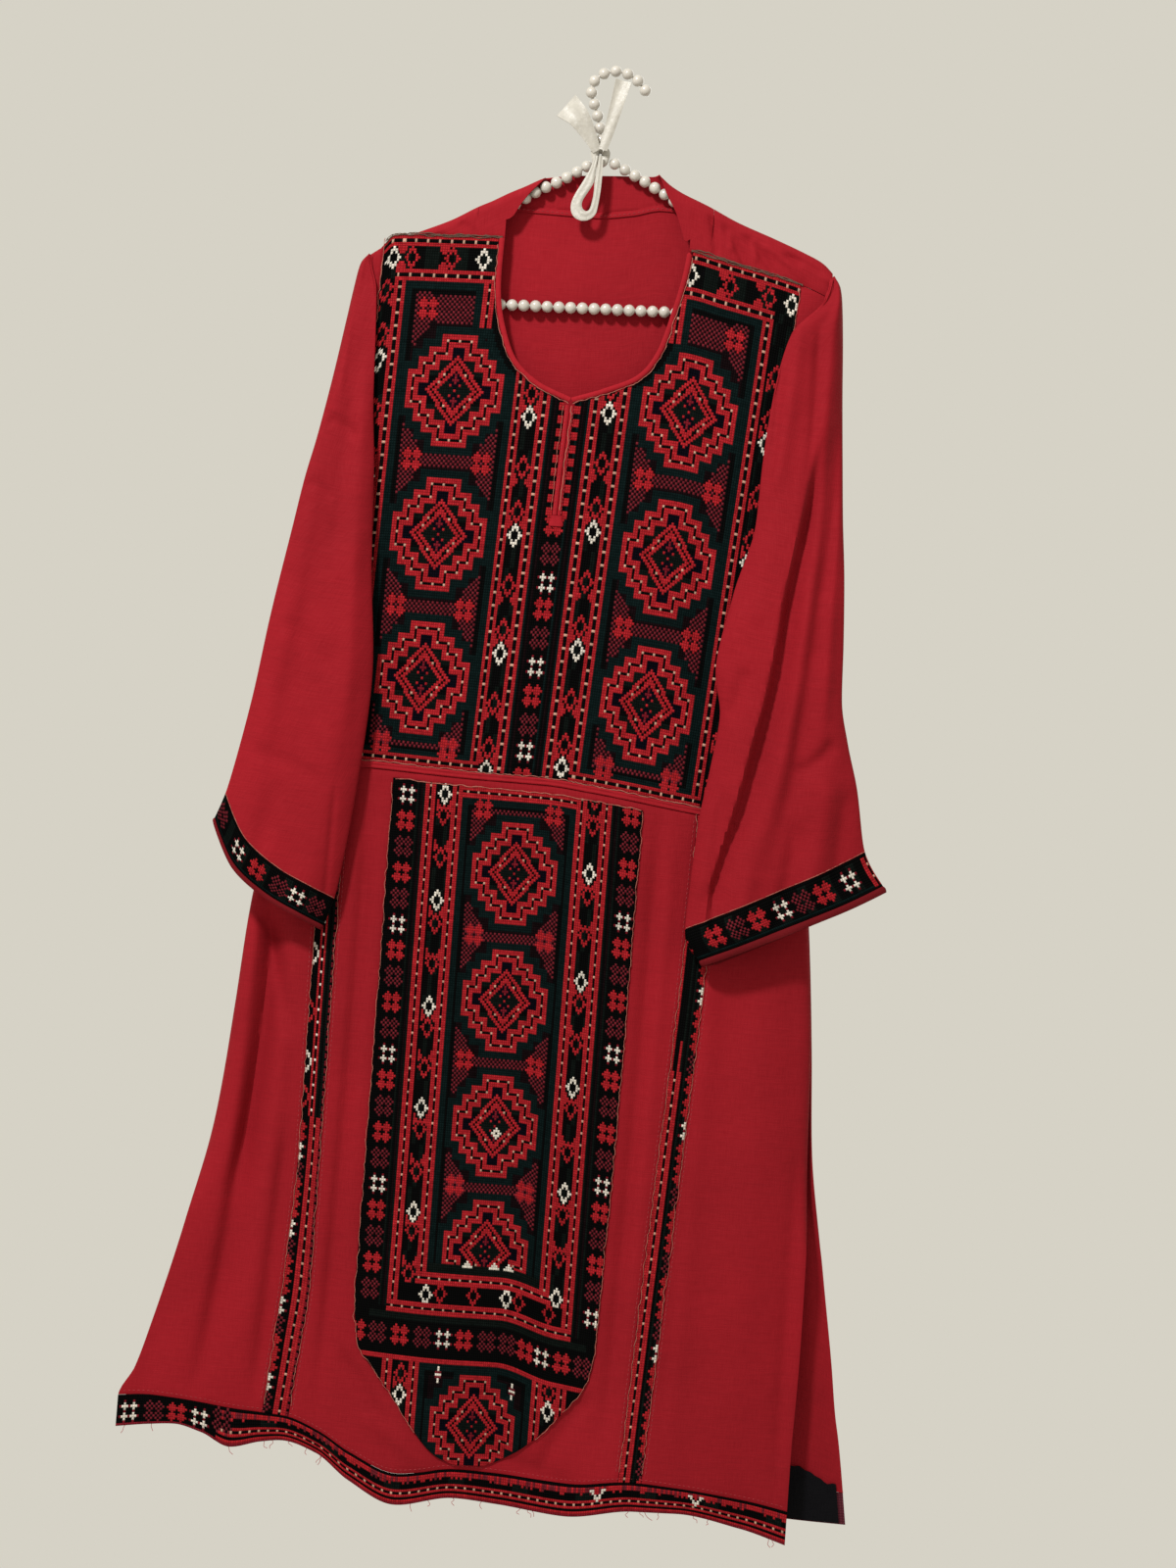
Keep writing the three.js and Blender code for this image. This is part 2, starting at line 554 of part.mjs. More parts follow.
function makeSkirt() {
  const bottom = lineBelow(hemTop, -SEAM_GAP);
  const half = SEAM_GAP / 2;
  const [leftOuter, leftInner] = [stripEdge('leftOuter'), stripEdge('leftInner')];
  const [rightInner, rightOuter] = [stripEdge('rightInner'), stripEdge('rightOuter')];
  const lines = [
    ['skirt_side_left', leftEdge, (z) => leftOuter(z) - half, CLOTH, colours.red],
    ['strip_left', (z) => leftOuter(z) + half, (z) => leftInner(z) - half, WORKED, colours.worked],
    ['skirt_centre', (z) => leftInner(z) + half, (z) => rightInner(z) - half, CLOTH, colours.red],
    ['strip_right', (z) => rightInner(z) + half, (z) => rightOuter(z) - half, WORKED, colours.worked],
    ['skirt_side_right', (z) => rightOuter(z) + half, rightEdge, CLOTH, colours.red],
  ];
  lines.forEach(([name, left, right, thickness, colour]) => {
    const outline = between({
      left, right, top: pipingLine[2], bottom,
      topLeft: left(-585), topRight: right(-603),
      bottomLeft: left(-1125), bottomRight: right(-1155),
    });
    addPiece(name, fromManifold(drape(outline, { facing: 'front', thickness })), colour);
  });
  const hem = between({
    left: leftEdge, right: rightEdge, top: lineBelow(hemTop, 0), bottom: lineBelow(hemBottom, 0),
    topLeft: leftEdge(-1110), topRight: rightEdge(-1164), bottomLeft: leftEdge(-1134), bottomRight: rightEdge(-1191),
  });
  addPiece('hem_band_front', fromManifold(drape(hem, { facing: 'front', thickness: WORKED })), colours.worked);
}

function makePocketPanel() {
  const [left, right] = [through(pocketSides, 'z', 'left'), through(pocketSides, 'z', 'right')];
  const tip = pocketSides[pocketSides.length - 1].z;
  const outline = [
    ...sampled(left(-590), right(-590), (x) => [x, pocketTop(x)], 4),
    ...sampled(pocketTop(66), tip, (z) => [right(z), z], 22).slice(1),
    ...sampled(tip, pocketTop(-139), (z) => [left(z), z], 22).slice(0, -1),
  ];
  const panel = drape(outline, { facing: 'front', lift: CLOTH + SEAM_GAP, thickness: WORKED });
  addPiece('pocket_panel', fromManifold(panel), colours.worked);
}

// ---------------------------------------------------------------- sleeves

// Each row is one section of the sleeve: seam where it meets the front armhole (and, below
// the underarm, its own underarm seam), its inner fold, its outer fold, and the same seam
// coming from behind. `front` and `behind` are the levels of its two layers; `sag` tells how
// far the middle of the section hangs below the straight line between the folds.
const leftSleeve = [
  { at: 0.00, seamX: -193.2, seamY: -7.6, seamZ: -170, inX: -194, inY: -8.2, inZ: -168.5,
    outX: -196.2, outY: 0, outZ: -166.5, front: -7, behind: 7, endX: -194, endY: 7.6, endZ: -170, sag: 0 },
  { at: 0.06, seamX: -191.2, seamY: -9.2, seamZ: -190, inX: -191.5, inY: -11, inZ: -190,
    outX: -202.5, outY: 0, outZ: -190, front: -10, behind: 8, endX: -193, endY: 9.6, endZ: -192, sag: 0 },
  { at: 0.13, seamX: -189, seamY: -10.6, seamZ: -221, inX: -185.5, inY: -14, inZ: -222,
    outX: -206.5, outY: -4, outZ: -218, front: -15, behind: 7, endX: -190.8, endY: 10.4, endZ: -224, sag: 0 },
  { at: 0.24, seamX: -188, seamY: -13.2, seamZ: -280, inX: -178.5, inY: -17.5, inZ: -284,
    outX: -214, outY: -12, outZ: -270, front: -21, behind: 2, endX: -190, endY: 11.4, endZ: -282, sag: 0.1 },
  { at: 0.34, seamX: -186, seamY: -14.6, seamZ: -328, inX: -173.5, inY: -20, inZ: -340,
    outX: -222, outY: -20, outZ: -318, front: -27, behind: -6, endX: -193, endY: 8, endZ: -330, sag: 0.2 },
  { at: 0.41, seamX: -179, seamY: -17, seamZ: -366, inX: -171.5, inY: -22.5, inZ: -376,
    outX: -229, outY: -24, outZ: -352, front: -31, behind: -16, endX: -191, endY: -13.5, endZ: -362, sag: 0.3 },
  { at: 0.50, seamX: -176, seamY: -18.6, seamZ: -412, inX: -169, inY: -25, inZ: -420,
    outX: -237, outY: -27, outZ: -392, front: -34, behind: -18.6, endX: -176.8, endY: -18.2, endZ: -412, sag: 0.4 },
  { at: 0.68, seamX: -170, seamY: -19.6, seamZ: -508, inX: -161.5, inY: -27, inZ: -512,
    outX: -254, outY: -30, outZ: -468, front: -38, behind: -20, endX: -170.8, endY: -19.6, endZ: -508, sag: 0.6 },
  { at: 0.82, seamX: -174, seamY: -19.6, seamZ: -590, inX: -166.5, inY: -27, inZ: -594,
    outX: -266.5, outY: -30, outZ: -535, front: -39, behind: -20.5, endX: -174.8, endY: -19.6, endZ: -590, sag: 0.8 },
  { at: 1.00, seamX: -187, seamY: -20, seamZ: -690, inX: -178.5, inY: -27, inZ: -692,
    outX: -275, outY: -30, outZ: -613, front: -38, behind: -21, endX: -187.8, endY: -20, endZ: -690, sag: 1 },
  { at: 1.25, seamX: -195, seamY: -21, seamZ: -715, inX: -187, inY: -27, inZ: -718,
    outX: -281.5, outY: -30, outZ: -637, front: -38, behind: -22, endX: -195.8, endY: -21, endZ: -715, sag: 1 },
];
const rightSleeve = [
  { at: 0.00, seamX: 190.8, seamY: -7.6, seamZ: -160, inX: 190.2, inY: -9, inZ: -157,
    outX: 193.5, outY: 0, outZ: -154, front: -7, behind: 7, endX: 190.2, endY: 7.6, endZ: -160, sag: 0 },
  { at: 0.05, seamX: 188, seamY: -10.6, seamZ: -176, inX: 182, inY: -15, inZ: -175,
    outX: 197.5, outY: -1, outZ: -172, front: -14, behind: 8, endX: 189.4, endY: 9.4, endZ: -178, sag: 0 },
  { at: 0.12, seamX: 184.5, seamY: -11, seamZ: -206, inX: 157, inY: -19, inZ: -205,
    outX: 200.5, outY: -4, outZ: -204, front: -22, behind: 8, endX: 187.6, endY: 10, endZ: -208, sag: 0 },
  { at: 0.22, seamX: 181, seamY: -13.8, seamZ: -258, inX: 146.5, inY: -23, inZ: -255,
    outX: 203.5, outY: -8, outZ: -252, front: -27, behind: 6, endX: 184.8, endY: 10.8, endZ: -262, sag: 0 },
  { at: 0.33, seamX: 180, seamY: -15.6, seamZ: -318, inX: 141.5, inY: -25.5, inZ: -314,
    outX: 207.5, outY: -14, outZ: -308, front: -32, behind: 0, endX: 185, endY: 9.6, endZ: -322, sag: 0 },
  { at: 0.40, seamX: 172, seamY: -18, seamZ: -362, inX: 140, inY: -27, inZ: -360,
    outX: 210.5, outY: -20, outZ: -350, front: -35, behind: -12, endX: 185, endY: -14, endZ: -358, sag: 0.05 },
  { at: 0.50, seamX: 142, seamY: -20.5, seamZ: -418, inX: 126, inY: -28, inZ: -420,
    outX: 215.2, outY: -26, outZ: -402, front: -38, behind: -20.5, endX: 142.8, endY: -20.5, endZ: -418, sag: 0.1 },
  { at: 0.61, seamX: 127, seamY: -21.5, seamZ: -480, inX: 116.2, inY: -29, inZ: -482,
    outX: 218.4, outY: -29, outZ: -455, front: -40, behind: -21.5, endX: 127.8, endY: -21.5, endZ: -480, sag: 0.1 },
  { at: 0.69, seamX: 136, seamY: -21.5, seamZ: -518, inX: 125.5, inY: -29, inZ: -520,
    outX: 220.5, outY: -30, outZ: -500, front: -41, behind: -21.5, endX: 136.8, endY: -21.5, endZ: -518, sag: 0.1 },
  { at: 0.77, seamX: 129, seamY: -21.5, seamZ: -560, inX: 118, inY: -29, inZ: -562,
    outX: 227.5, outY: -30.5, outZ: -533, front: -41.5, behind: -21.7, endX: 129.8, endY: -21.5, endZ: -560, sag: 0.1 },
  { at: 0.86, seamX: 123, seamY: -21.5, seamZ: -608, inX: 111.5, inY: -29, inZ: -610,
    outX: 238, outY: -31, outZ: -570, front: -42, behind: -22, endX: 123.8, endY: -21.5, endZ: -608, sag: 0.1 },
  { at: 1.00, seamX: 119, seamY: -22, seamZ: -693, inX: 107.5, inY: -29, inZ: -695,
    outX: 248.5, outY: -31, outZ: -621, front: -42, behind: -23, endX: 119.8, endY: -22, endZ: -693, sag: 0.1 },
  { at: 1.25, seamX: 134, seamY: -23, seamZ: -722, inX: 124, inY: -29, inZ: -724,
    outX: 268.5, outY: -31, outZ: -652, front: -42, behind: -24, endX: 134.8, endY: -23, endZ: -722, sag: 0.1 },
];

// The columns of a section, counted in its guide points, so that each fold keeps its own.
const STATIONS = [0, 1, 1.6, 2, 2.5, 3, 3.5, 4, 4.5, 5, 5.5, 6, 6.5, 7, 7.5, 8, 8.5, 9, 9.5, 10];
// Points round one section, as a smooth curve through the seam, the folds and both layers.
function sleeveSection(table, at) {
  const row = Object.fromEntries(Object.keys(table[0]).map((column) => [column, through(table, 'at', column)(at)]));
  const seam = new THREE.Vector3(row.seamX, row.seamY, row.seamZ);
  const fold = new THREE.Vector3(row.inX, row.inY, row.inZ);
  const outer = new THREE.Vector3(row.outX, row.outY, row.outZ);
  const end = new THREE.Vector3(row.endX, row.endY, row.endZ);
  const drop = (row.outZ - row.inZ) * row.sag;
  const onFront = (t, share) => {
    const point = fold.clone().lerp(outer, t);
    return point.set(point.x, row.front, point.z - drop * share);
  };
  const behind = (t, share) => {
    const point = outer.clone().lerp(end, t);
    return point.set(point.x, blend(point.y, row.behind, 0.8), point.z - drop * share);
  };
  const curve = new THREE.CatmullRomCurve3([
    seam, seam.clone().lerp(fold, 0.5).setY(blend(seam.y, fold.y, 0.2)), fold,
    onFront(0.2, 0.09), onFront(0.5, 0.22), onFront(0.8, 0.24), outer,
    behind(0.25, 0.24), behind(0.55, 0.18), behind(0.8, 0.09), end,
  ], false, 'centripetal');
  return STATIONS.map((station) => curve.getPoint(station / STATIONS[STATIONS.length - 1]));
}

const CUFF_TOP = 1;
const CUFF_BOTTOM = 1.21;
const PIPING_BOTTOM = 1.25;
const NEAR = 0.03;
function makeSleeve(side, table) {
  const section = (at) => {
    const points = sleeveSection(table, at);
    return side === 'left' ? points.reverse() : points;
  };
  const inside = (at) => movedIn([at - NEAR, at, at + NEAR].map(section), CLOTH)[1];
  const part = (name, from, to, rowCount, colour) => {
    const levels = Array.from({ length: rowCount }, (_, i) => blend(from, to, i / (rowCount - 1)));
    addPiece(`${name}_${side}`, gridWall(levels.map(section), levels.map(inside)), colour);
  };
  part('sleeve', 0, CUFF_TOP - 0.002, 14, colours.red);
  part('cuff', CUFF_TOP + 0.002, CUFF_BOTTOM - 0.003, 2, colours.worked);
  part('cuff_piping', CUFF_BOTTOM + 0.003, PIPING_BOTTOM, 2, colours.binding);
}

// ---------------------------------------------------------------- hanger

// Beads threaded on a wire: rings of points along a curve, whose radius swells at each bead.
function beadString(points, sideCount = 7) {
  const curve = new THREE.CatmullRomCurve3(points.map(([x, y, z]) => new THREE.Vector3(x, y, z)));
  const length = curve.getLength();
  const beadCount = Math.round(length / BEAD_PITCH);
  const pitch = length / beadCount;
  const stations = [];
  for (let bead = 0; bead < beadCount; bead += 1) {
    [-0.92, -0.42, 0.42, 0.92].forEach((share) => {
      const radius = BEAD_RADIUS * Math.sqrt(1 - share * share);
      stations.push({ at: (bead + 0.5) * pitch + share * BEAD_RADIUS, radius: Math.max(radius, WIRE_RADIUS) });
    });
  }
  const vertices = [];
  const up = new THREE.Vector3(0, 1, 0);
  stations.forEach(({ at, radius }) => {
    const centre = curve.getPointAt(at / length);
    const tangent = curve.getTangentAt(at / length);
    const across = new THREE.Vector3().crossVectors(tangent, up).normalize();
    for (let side = 0; side < sideCount; side += 1) {
      const angle = (2 * Math.PI * side) / sideCount;
      const point = centre.clone()
        .addScaledVector(across, radius * Math.cos(angle))
        .addScaledVector(up, radius * Math.sin(angle));
      vertices.push(point.x, point.y, point.z);
    }
  });
  const triangles = [];
  for (let i = 0; i < stations.length - 1; i += 1) {
    for (let side = 0; side < sideCount; side += 1) {
      const next = (side + 1) % sideCount;
      const [a, b] = [i * sideCount + side, i * sideCount + next];
      triangles.push(a, a + sideCount, b, b, a + sideCount, b + sideCount);
    }
  }
  const last = (stations.length - 1) * sideCount;
  for (let side = 1; side < sideCount - 1; side += 1) {
    triangles.push(0, side, side + 1);
    triangles.push(last, last + side + 1, last + side);
  }
  return geometryFrom(vertices, triangles);
}

const hook = [[26, 0, -16], [21.5, 0, -9.5], [14, 0, -2.5], [4.4, 0, 1.5], [-6, 0, 1.5],
  [-15, 0, -3], [-20.5, 0, -11], [-19.8, 0, -20.5], [-16, 0, -30], [-13, 0, -40], [-10.6, 0, -50],
  [-9.4, 0, -60.2]];
const armLeft = [[-15.7, 0, -75], [-38.8, 0, -90], [-57, 0, -99.9], [-70, 0, -108.9],
  [-96, 0, -125], [-127, 0, -140], [-152, 0, -150], [-170, 0, -159], [-180.5, 0, -172], [-182, 0, -187]];
const armRight = [[-1.4, 0, -71.8], [11, 0, -77.8], [29.4, 0, -86.9], [45.6, 0, -95.6],
  [60, 0, -104.3], [82, 0, -115], [107, 0, -127], [139, 0, -139.8], [158, 0, -148], [169, 0, -160],
  [171.5, 0, -177]];
const bar = [[-182, 0, -190.2], [-150, 0, -197.6], [-75, 0, -195.8], [50, 0, -192], [140, 0, -189.5],
  [171.5, 0, -180]];

function makeHanger() {
  const pieces = { hanger_hook: hook, hanger_arm_left: armLeft, hanger_arm_right: armRight, hanger_bar: bar };
  Object.entries(pieces).forEach(([name, points]) => addPiece(name, beadString(points), colours.pearl, 0.3));
}

function makeRibbon() {
  const profile = [[1.9, -7.5], [5.5, -7.5], [7.6, -4], [8, 0], [7.6, 4], [5.5, 7.5], [1.9, 7.5], [1.9, -7.5]];
  const knot = new THREE.LatheGeometry(profile.map(([r, y]) => new THREE.Vector2(r, y)), 16);
  knot.rotateX(Math.PI / 2);
  knot.translate(-9.4, 0, -68.3);
  addPiece('ribbon_knot', knot, colours.satin, 0.5);

  const tail = (centreLine, widths) => {
    const curve = new THREE.CatmullRomCurve3(centreLine.map(([x, y, z]) => new THREE.Vector3(x, y, z)));
    const rows = sampled(0, 1, (t) => {
      const centre = curve.getPointAt(t);
      const tangent = curve.getTangentAt(t);
      const across = new THREE.Vector3().crossVectors(tangent, new THREE.Vector3(0, 1, 0)).normalize();
      const half = blend(widths[0], widths[1], t) / 2;
      return [-1, 0, 1].map((side) => centre.clone().addScaledVector(across, side * half));
    }, 8);
    return gridWall(rows, movedIn(rows, 1));
  };
  const left = tail([[-12.5, -8.8, -66], [-21, -12, -52], [-30, -15, -40], [-40.5, -13, -31.5]], [7, 23]);
  const right = tail([[-7.6, -10.2, -65], [-3, -12, -46], [1, -15, -28], [5, -14, -8]], [7, 13]);
  addPiece('ribbon_tail_left', left, colours.satin, 0.5);
  addPiece('ribbon_tail_right', right, colours.satin, 0.5);

  const outside = new THREE.Shape();
  outside.moveTo(-14, -70);
  outside.bezierCurveTo(-18, -92, -33, -104, -30, -116);
  outside.bezierCurveTo(-28, -126, -13, -127, -9, -116);
  outside.bezierCurveTo(-7, -104, -6, -90, -7, -70);
  outside.closePath();
  const hole = new THREE.Path();
  hole.moveTo(-13, -92);
  hole.bezierCurveTo(-16, -100, -24, -108, -21, -113);
  hole.bezierCurveTo(-19, -117, -15, -117, -14, -111);
  hole.bezierCurveTo(-12.5, -104, -12.2, -98, -13, -92);
  outside.holes.push(hole);
  const loop = new THREE.ExtrudeGeometry(outside, { depth: 2.4, bevelEnabled: false, curveSegments: 8 });
  loop.rotateX(Math.PI / 2);
  loop.translate(0, -8.4, 0);
  addPiece('ribbon_loop', loop, colours.satin, 0.5);
}

makeBack();
makeNeckBand();
makeFrontShoulder('left', ARM_COLUMNS.filter((x) => x < 0), [-105.8, -98, -88, -82.3]);
makeFrontShoulder('right', ARM_COLUMNS.filter((x) => x > 0), [69.3, 74, 80, 87.8]);
makeYoke();
makeFrontSides();
makeWaistPiping();
makeSkirt();
makePocketPanel();
makeSleeve('left', leftSleeve);
makeSleeve('right', rightSleeve);
makeHanger();
makeRibbon();

export default group;
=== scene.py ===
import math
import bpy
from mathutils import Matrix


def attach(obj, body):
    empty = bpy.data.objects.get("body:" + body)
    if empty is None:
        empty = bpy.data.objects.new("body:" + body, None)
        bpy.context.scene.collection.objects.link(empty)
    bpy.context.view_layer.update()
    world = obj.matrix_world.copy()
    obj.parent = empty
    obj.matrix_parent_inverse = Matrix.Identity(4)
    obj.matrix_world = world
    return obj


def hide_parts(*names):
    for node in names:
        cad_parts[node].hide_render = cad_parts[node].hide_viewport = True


bl_info = {
    "name": "Embroidered kurta",
    "version": (1, 0, 0),
    "blender": (4, 5, 0),
    "location": "3D View > Sidebar > Kurta",
    "description": "Builds an embroidered kurta hanging on a beaded hanger",
    "category": "Add Mesh",
}

import bpy
import numpy as np
from bpy.props import FloatProperty, FloatVectorProperty, PointerProperty
from mathutils import Matrix, Vector

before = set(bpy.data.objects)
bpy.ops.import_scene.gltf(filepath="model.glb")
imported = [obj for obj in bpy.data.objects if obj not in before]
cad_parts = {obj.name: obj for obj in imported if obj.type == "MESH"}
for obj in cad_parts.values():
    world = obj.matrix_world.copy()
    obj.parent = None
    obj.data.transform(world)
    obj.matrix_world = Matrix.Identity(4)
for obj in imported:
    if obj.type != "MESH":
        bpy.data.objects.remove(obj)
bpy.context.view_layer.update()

# Lengths in the tables and shape functions are millimetres; meshes are made in metres.
MM = 0.001
CLOTH = 1.5
WORKED = 1.8
# heights over a layer's inner face: the pocket panel's underside, and threads laid on it
UNDER_POCKET = CLOTH + 0.3
ON_CLOTH = CLOTH + 0.15
ON_WORKED = WORKED + 0.35
ON_POCKET = UNDER_POCKET + WORKED + 0.15
SHOULDER_RADIUS = 7.4
SHOULDER_ENDS = -192, 188
WAIST_PIPING = 6
NECK_BINDING = 4.5
SLIT_TOP = -269
SLIT_BOTTOM = -366
SIDE_ROUNDING = 26
UNDERARM = -345
SIDE_SLIT_TOP = -894
NEAR_HEM = -1150
HEM_BAND_BACK = 26
HEM_FACING = 44
# the share of a sleeve's length where its cuff ends and the piping starts
CUFF_END = 1.208
# the radius of the hanger's wire and of a bead's hole, and the middle of the ribbon's knot
WIRE = 1.1
HOLE = 0.7
KNOT = (-9.4, 0, -68.3)
# the direction towards the back, and the least length a vector is divided by
BACKWARDS = (0.0, 1.0, 0.0)
TINY = 1e-9
# the colour of the worked cloth's inner side
REVERSE = (0.1, 0.02, 0.03)


# Tables

def rows(names, *values):
    """A short table with named columns."""
    return {name: np.array([value[i] for value in values], float)
            for i, name in enumerate(names.split())}


def through(table, key, value):
    """A smooth function through one column of a table over another."""
    order = np.argsort(table[key])
    xs, ys = table[key][order], table[value][order]
    chord = np.diff(ys) / np.diff(xs)
    slope = np.concatenate([chord[:1], np.zeros(len(xs) - 2), chord[-1:]])
    for i in range(1, len(xs) - 1):
        if chord[i - 1] * chord[i] > 0:
            slope[i] = 2 * chord[i - 1] * chord[i] / (chord[i - 1] + chord[i])

    def at(where):
        where = np.clip(np.asarray(where, float), xs[0], xs[-1])
        i = np.clip(np.searchsorted(xs, where, side="left") - 1, 0, len(xs) - 2)
        width = xs[i + 1] - xs[i]
        t = (where - xs[i]) / width
        hold = width * t * (1 - t)
        return (ys[i] + (ys[i + 1] - ys[i]) * t * t * (3 - 2 * t)
                + hold * (slope[i] * (1 - t) - slope[i + 1] * t))
    return at


def profile(*points):
    """A smooth function through points."""
    return through(rows("at value", *points), "at", "value")


def blend(low, high, t):
    return low + (high - low) * t


def unit(vectors, least=0.0):
    size = np.linalg.norm(vectors, axis=-1, keepdims=True)
    return vectors / np.maximum(size, least)


def point(x, y, z):
    return np.stack(np.broadcast_arrays(x, y, z), -1)


def smooth(low, high, value):
    t = np.clip((np.asarray(value, float) - low) / (high - low), 0, 1)
    return t * t * (3 - 2 * t)


# the top line of the shoulders, as z over x
ridge = profile(
    (-196, -167), (-190, -162.5), (-174, -151.5), (-152, -141.5), (-127, -130),
    (-105, -117), (-96, -112.5), (-80, -103.5), (-70, -98.5), (-57, -91.4), (-53, -89.5),
    (-44, -82.5), (-30, -77.5), (-10, -76), (20, -75.5), (35, -76), (43, -82.5), (50, -88),
    (60, -93.5), (82, -102.5), (107, -114), (139, -125.5), (165, -135.5), (179, -142),
    (190, -152), (194, -156.5))

# the side seams, then the yoke's edges, the hem, the strips' seams and the pocket panel's
sides = rows(
    "z left right back_right", (-150, -193, 190, 190), (-200, -190, 185, 186),
    (-280, -188.5, 181, 182), (UNDERARM, -188.5, 181, 182), (-450, -196, 186, 187),
    (-590, -222, 196, 197), (-699, -248, 210.5, 211.5), (-786, -255, 219, 220),
    (-873, -263.5, 223, 227), (-960, -280, 227.5, 242), (-1046, -301, 228.5, 257),
    (-1085, -312, 228, 263), (-1110, -324, 227.5, 268), (-1191, -324, 228, 281))
left_edge = through(sides, "z", "left")
right_edge = through(sides, "z", "right")
back_right_edge = through(sides, "z", "back_right")


def back_left_edge(z):
    return left_edge(z) + 3 * (1 - smooth(-700, -450, z))


yoke_top = profile(
    (-193, -171), (-186, -163), (-180, -155), (-172, -147), (-130, -144.5),
    (-82, -142.8), (69, -142), (100, -148), (164, -163), (190, -173))
yoke_bottom = profile(
    (-225, -576), (-166, -577), (-72, -580), (-15, -580.5), (20, -583.5),
    (112, -595), (200, -604))

hem = rows(
    "x top bottom", (-327, -1109.5, -1135), (-298, -1106.5, -1130), (-276, -1107.5, -1128),
    (-254, -1110, -1133.5), (-230, -1113.5, -1144.5), (-206, -1115.5, -1139),
    (-189, -1117, -1137), (-160, -1127, -1145), (-132, -1142, -1164), (-93, -1155, -1180),
    (-46, -1148.5, -1171.5), (-10, -1150.5, -1175), (45, -1155, -1181), (102, -1148, -1171),
    (137, -1150, -1170), (190, -1157, -1180), (228, -1164, -1191))
hem_top = through(hem, "x", "top")
hem_bottom = through(hem, "x", "bottom")
hem_back = profile(
    (-325, -1127), (-220, -1131), (-110, -1158), (0, -1164), (110, -1163),
    (226, -1174), (281, -1177))

strips = rows(
    "z left_outer left_inner right_inner right_outer", (-575, -193, -177, 112, 131),
    (-720, -193.5, -176, 108.5, 128), (-894, -192.5, -175, 100, 119.5),
    (-1003, -197, -175, 94.5, 114), (-1060, -201.5, -179.5, 92, 111),
    (-1160, -210, -189, 87.5, 106))
strip_edge = {name: through(strips, "z", name) for name in strips if name != "z"}

pocket_sides = rows(
    "z left right", (-589, -139, 66.5), (-851, -138, 65), (-1007, -138, 62),
    (-1051, -133, 60.5), (-1072, -118, 56), (-1094, -100, 41), (-1120, -80.5, 17.5),
    (-1138, -62, -7), (-1144.6, -46, -24))
pocket_left = through(pocket_sides, "z", "left")
pocket_right = through(pocket_sides, "z", "right")
POCKET_TIP = -1144.6

neck_left = [(-82, -128), (-82, -187), (-76, -216), (-65, -241), (-47, -257), (-18, -269)]
neck_right = [(-18, -269), (8, -259.5), (35, -246), (48, -228), (60, -187), (66, -158),
              (69, -128)]

# how deep the front and the back lie in the middle of the body, over z
front_level = profile(
    (-120, 5.9), (-200, 6.4), (-300, 9.5), (-450, 11), (-590, 12), (-900, 14), (-1191, 17))
back_level = profile(
    (-120, 5.9), (-200, 6.4), (-300, 8), (-590, 9), (-900, 11), (-1191, 15))


# Form of the cloth

def creases(table, a, b):
    """Soft troughs and ridges. Each runs from one point to another, bowed to one side, with
    its own width, height and lean: a lean of 0.6 makes one flank steep and the other long."""
    total = np.zeros(np.broadcast(a, b).shape)
    for a0, b0, a1, b1, bow, width, height, lean in table:
        length = math.hypot(a1 - a0, b1 - b0)
        ca, cb = (a1 - a0) / length, (b1 - b0) / length
        along = ((a - a0) * ca + (b - b0) * cb) / length
        middle = np.clip(along, 0, 1)
        across = -(a - a0) * cb + (b - b0) * ca - bow * 4 * middle * (1 - middle)
        spread = np.where(across > 0, width * (1 + lean), width * (1 - lean))
        taper = smooth(-0.06, 0.16, along) * (1 - smooth(0.78, 1.06, along))
        total += height * taper * np.exp(-(across / spread) ** 2)
    return total


def rumple(a, b, size, seed):
    """Smooth uneven swells about `size` across, between -1 and 1."""
    random = np.random.default_rng(seed)
    total = 0
    for _ in range(7):
        angle, wave = random.uniform(0, math.pi), 2 * math.pi / (size * random.uniform(0.7, 1.7))
        total = total + np.sin((a * math.cos(angle) + b * math.sin(angle)) * wave + random.uniform(0, 7))
    return total / 4


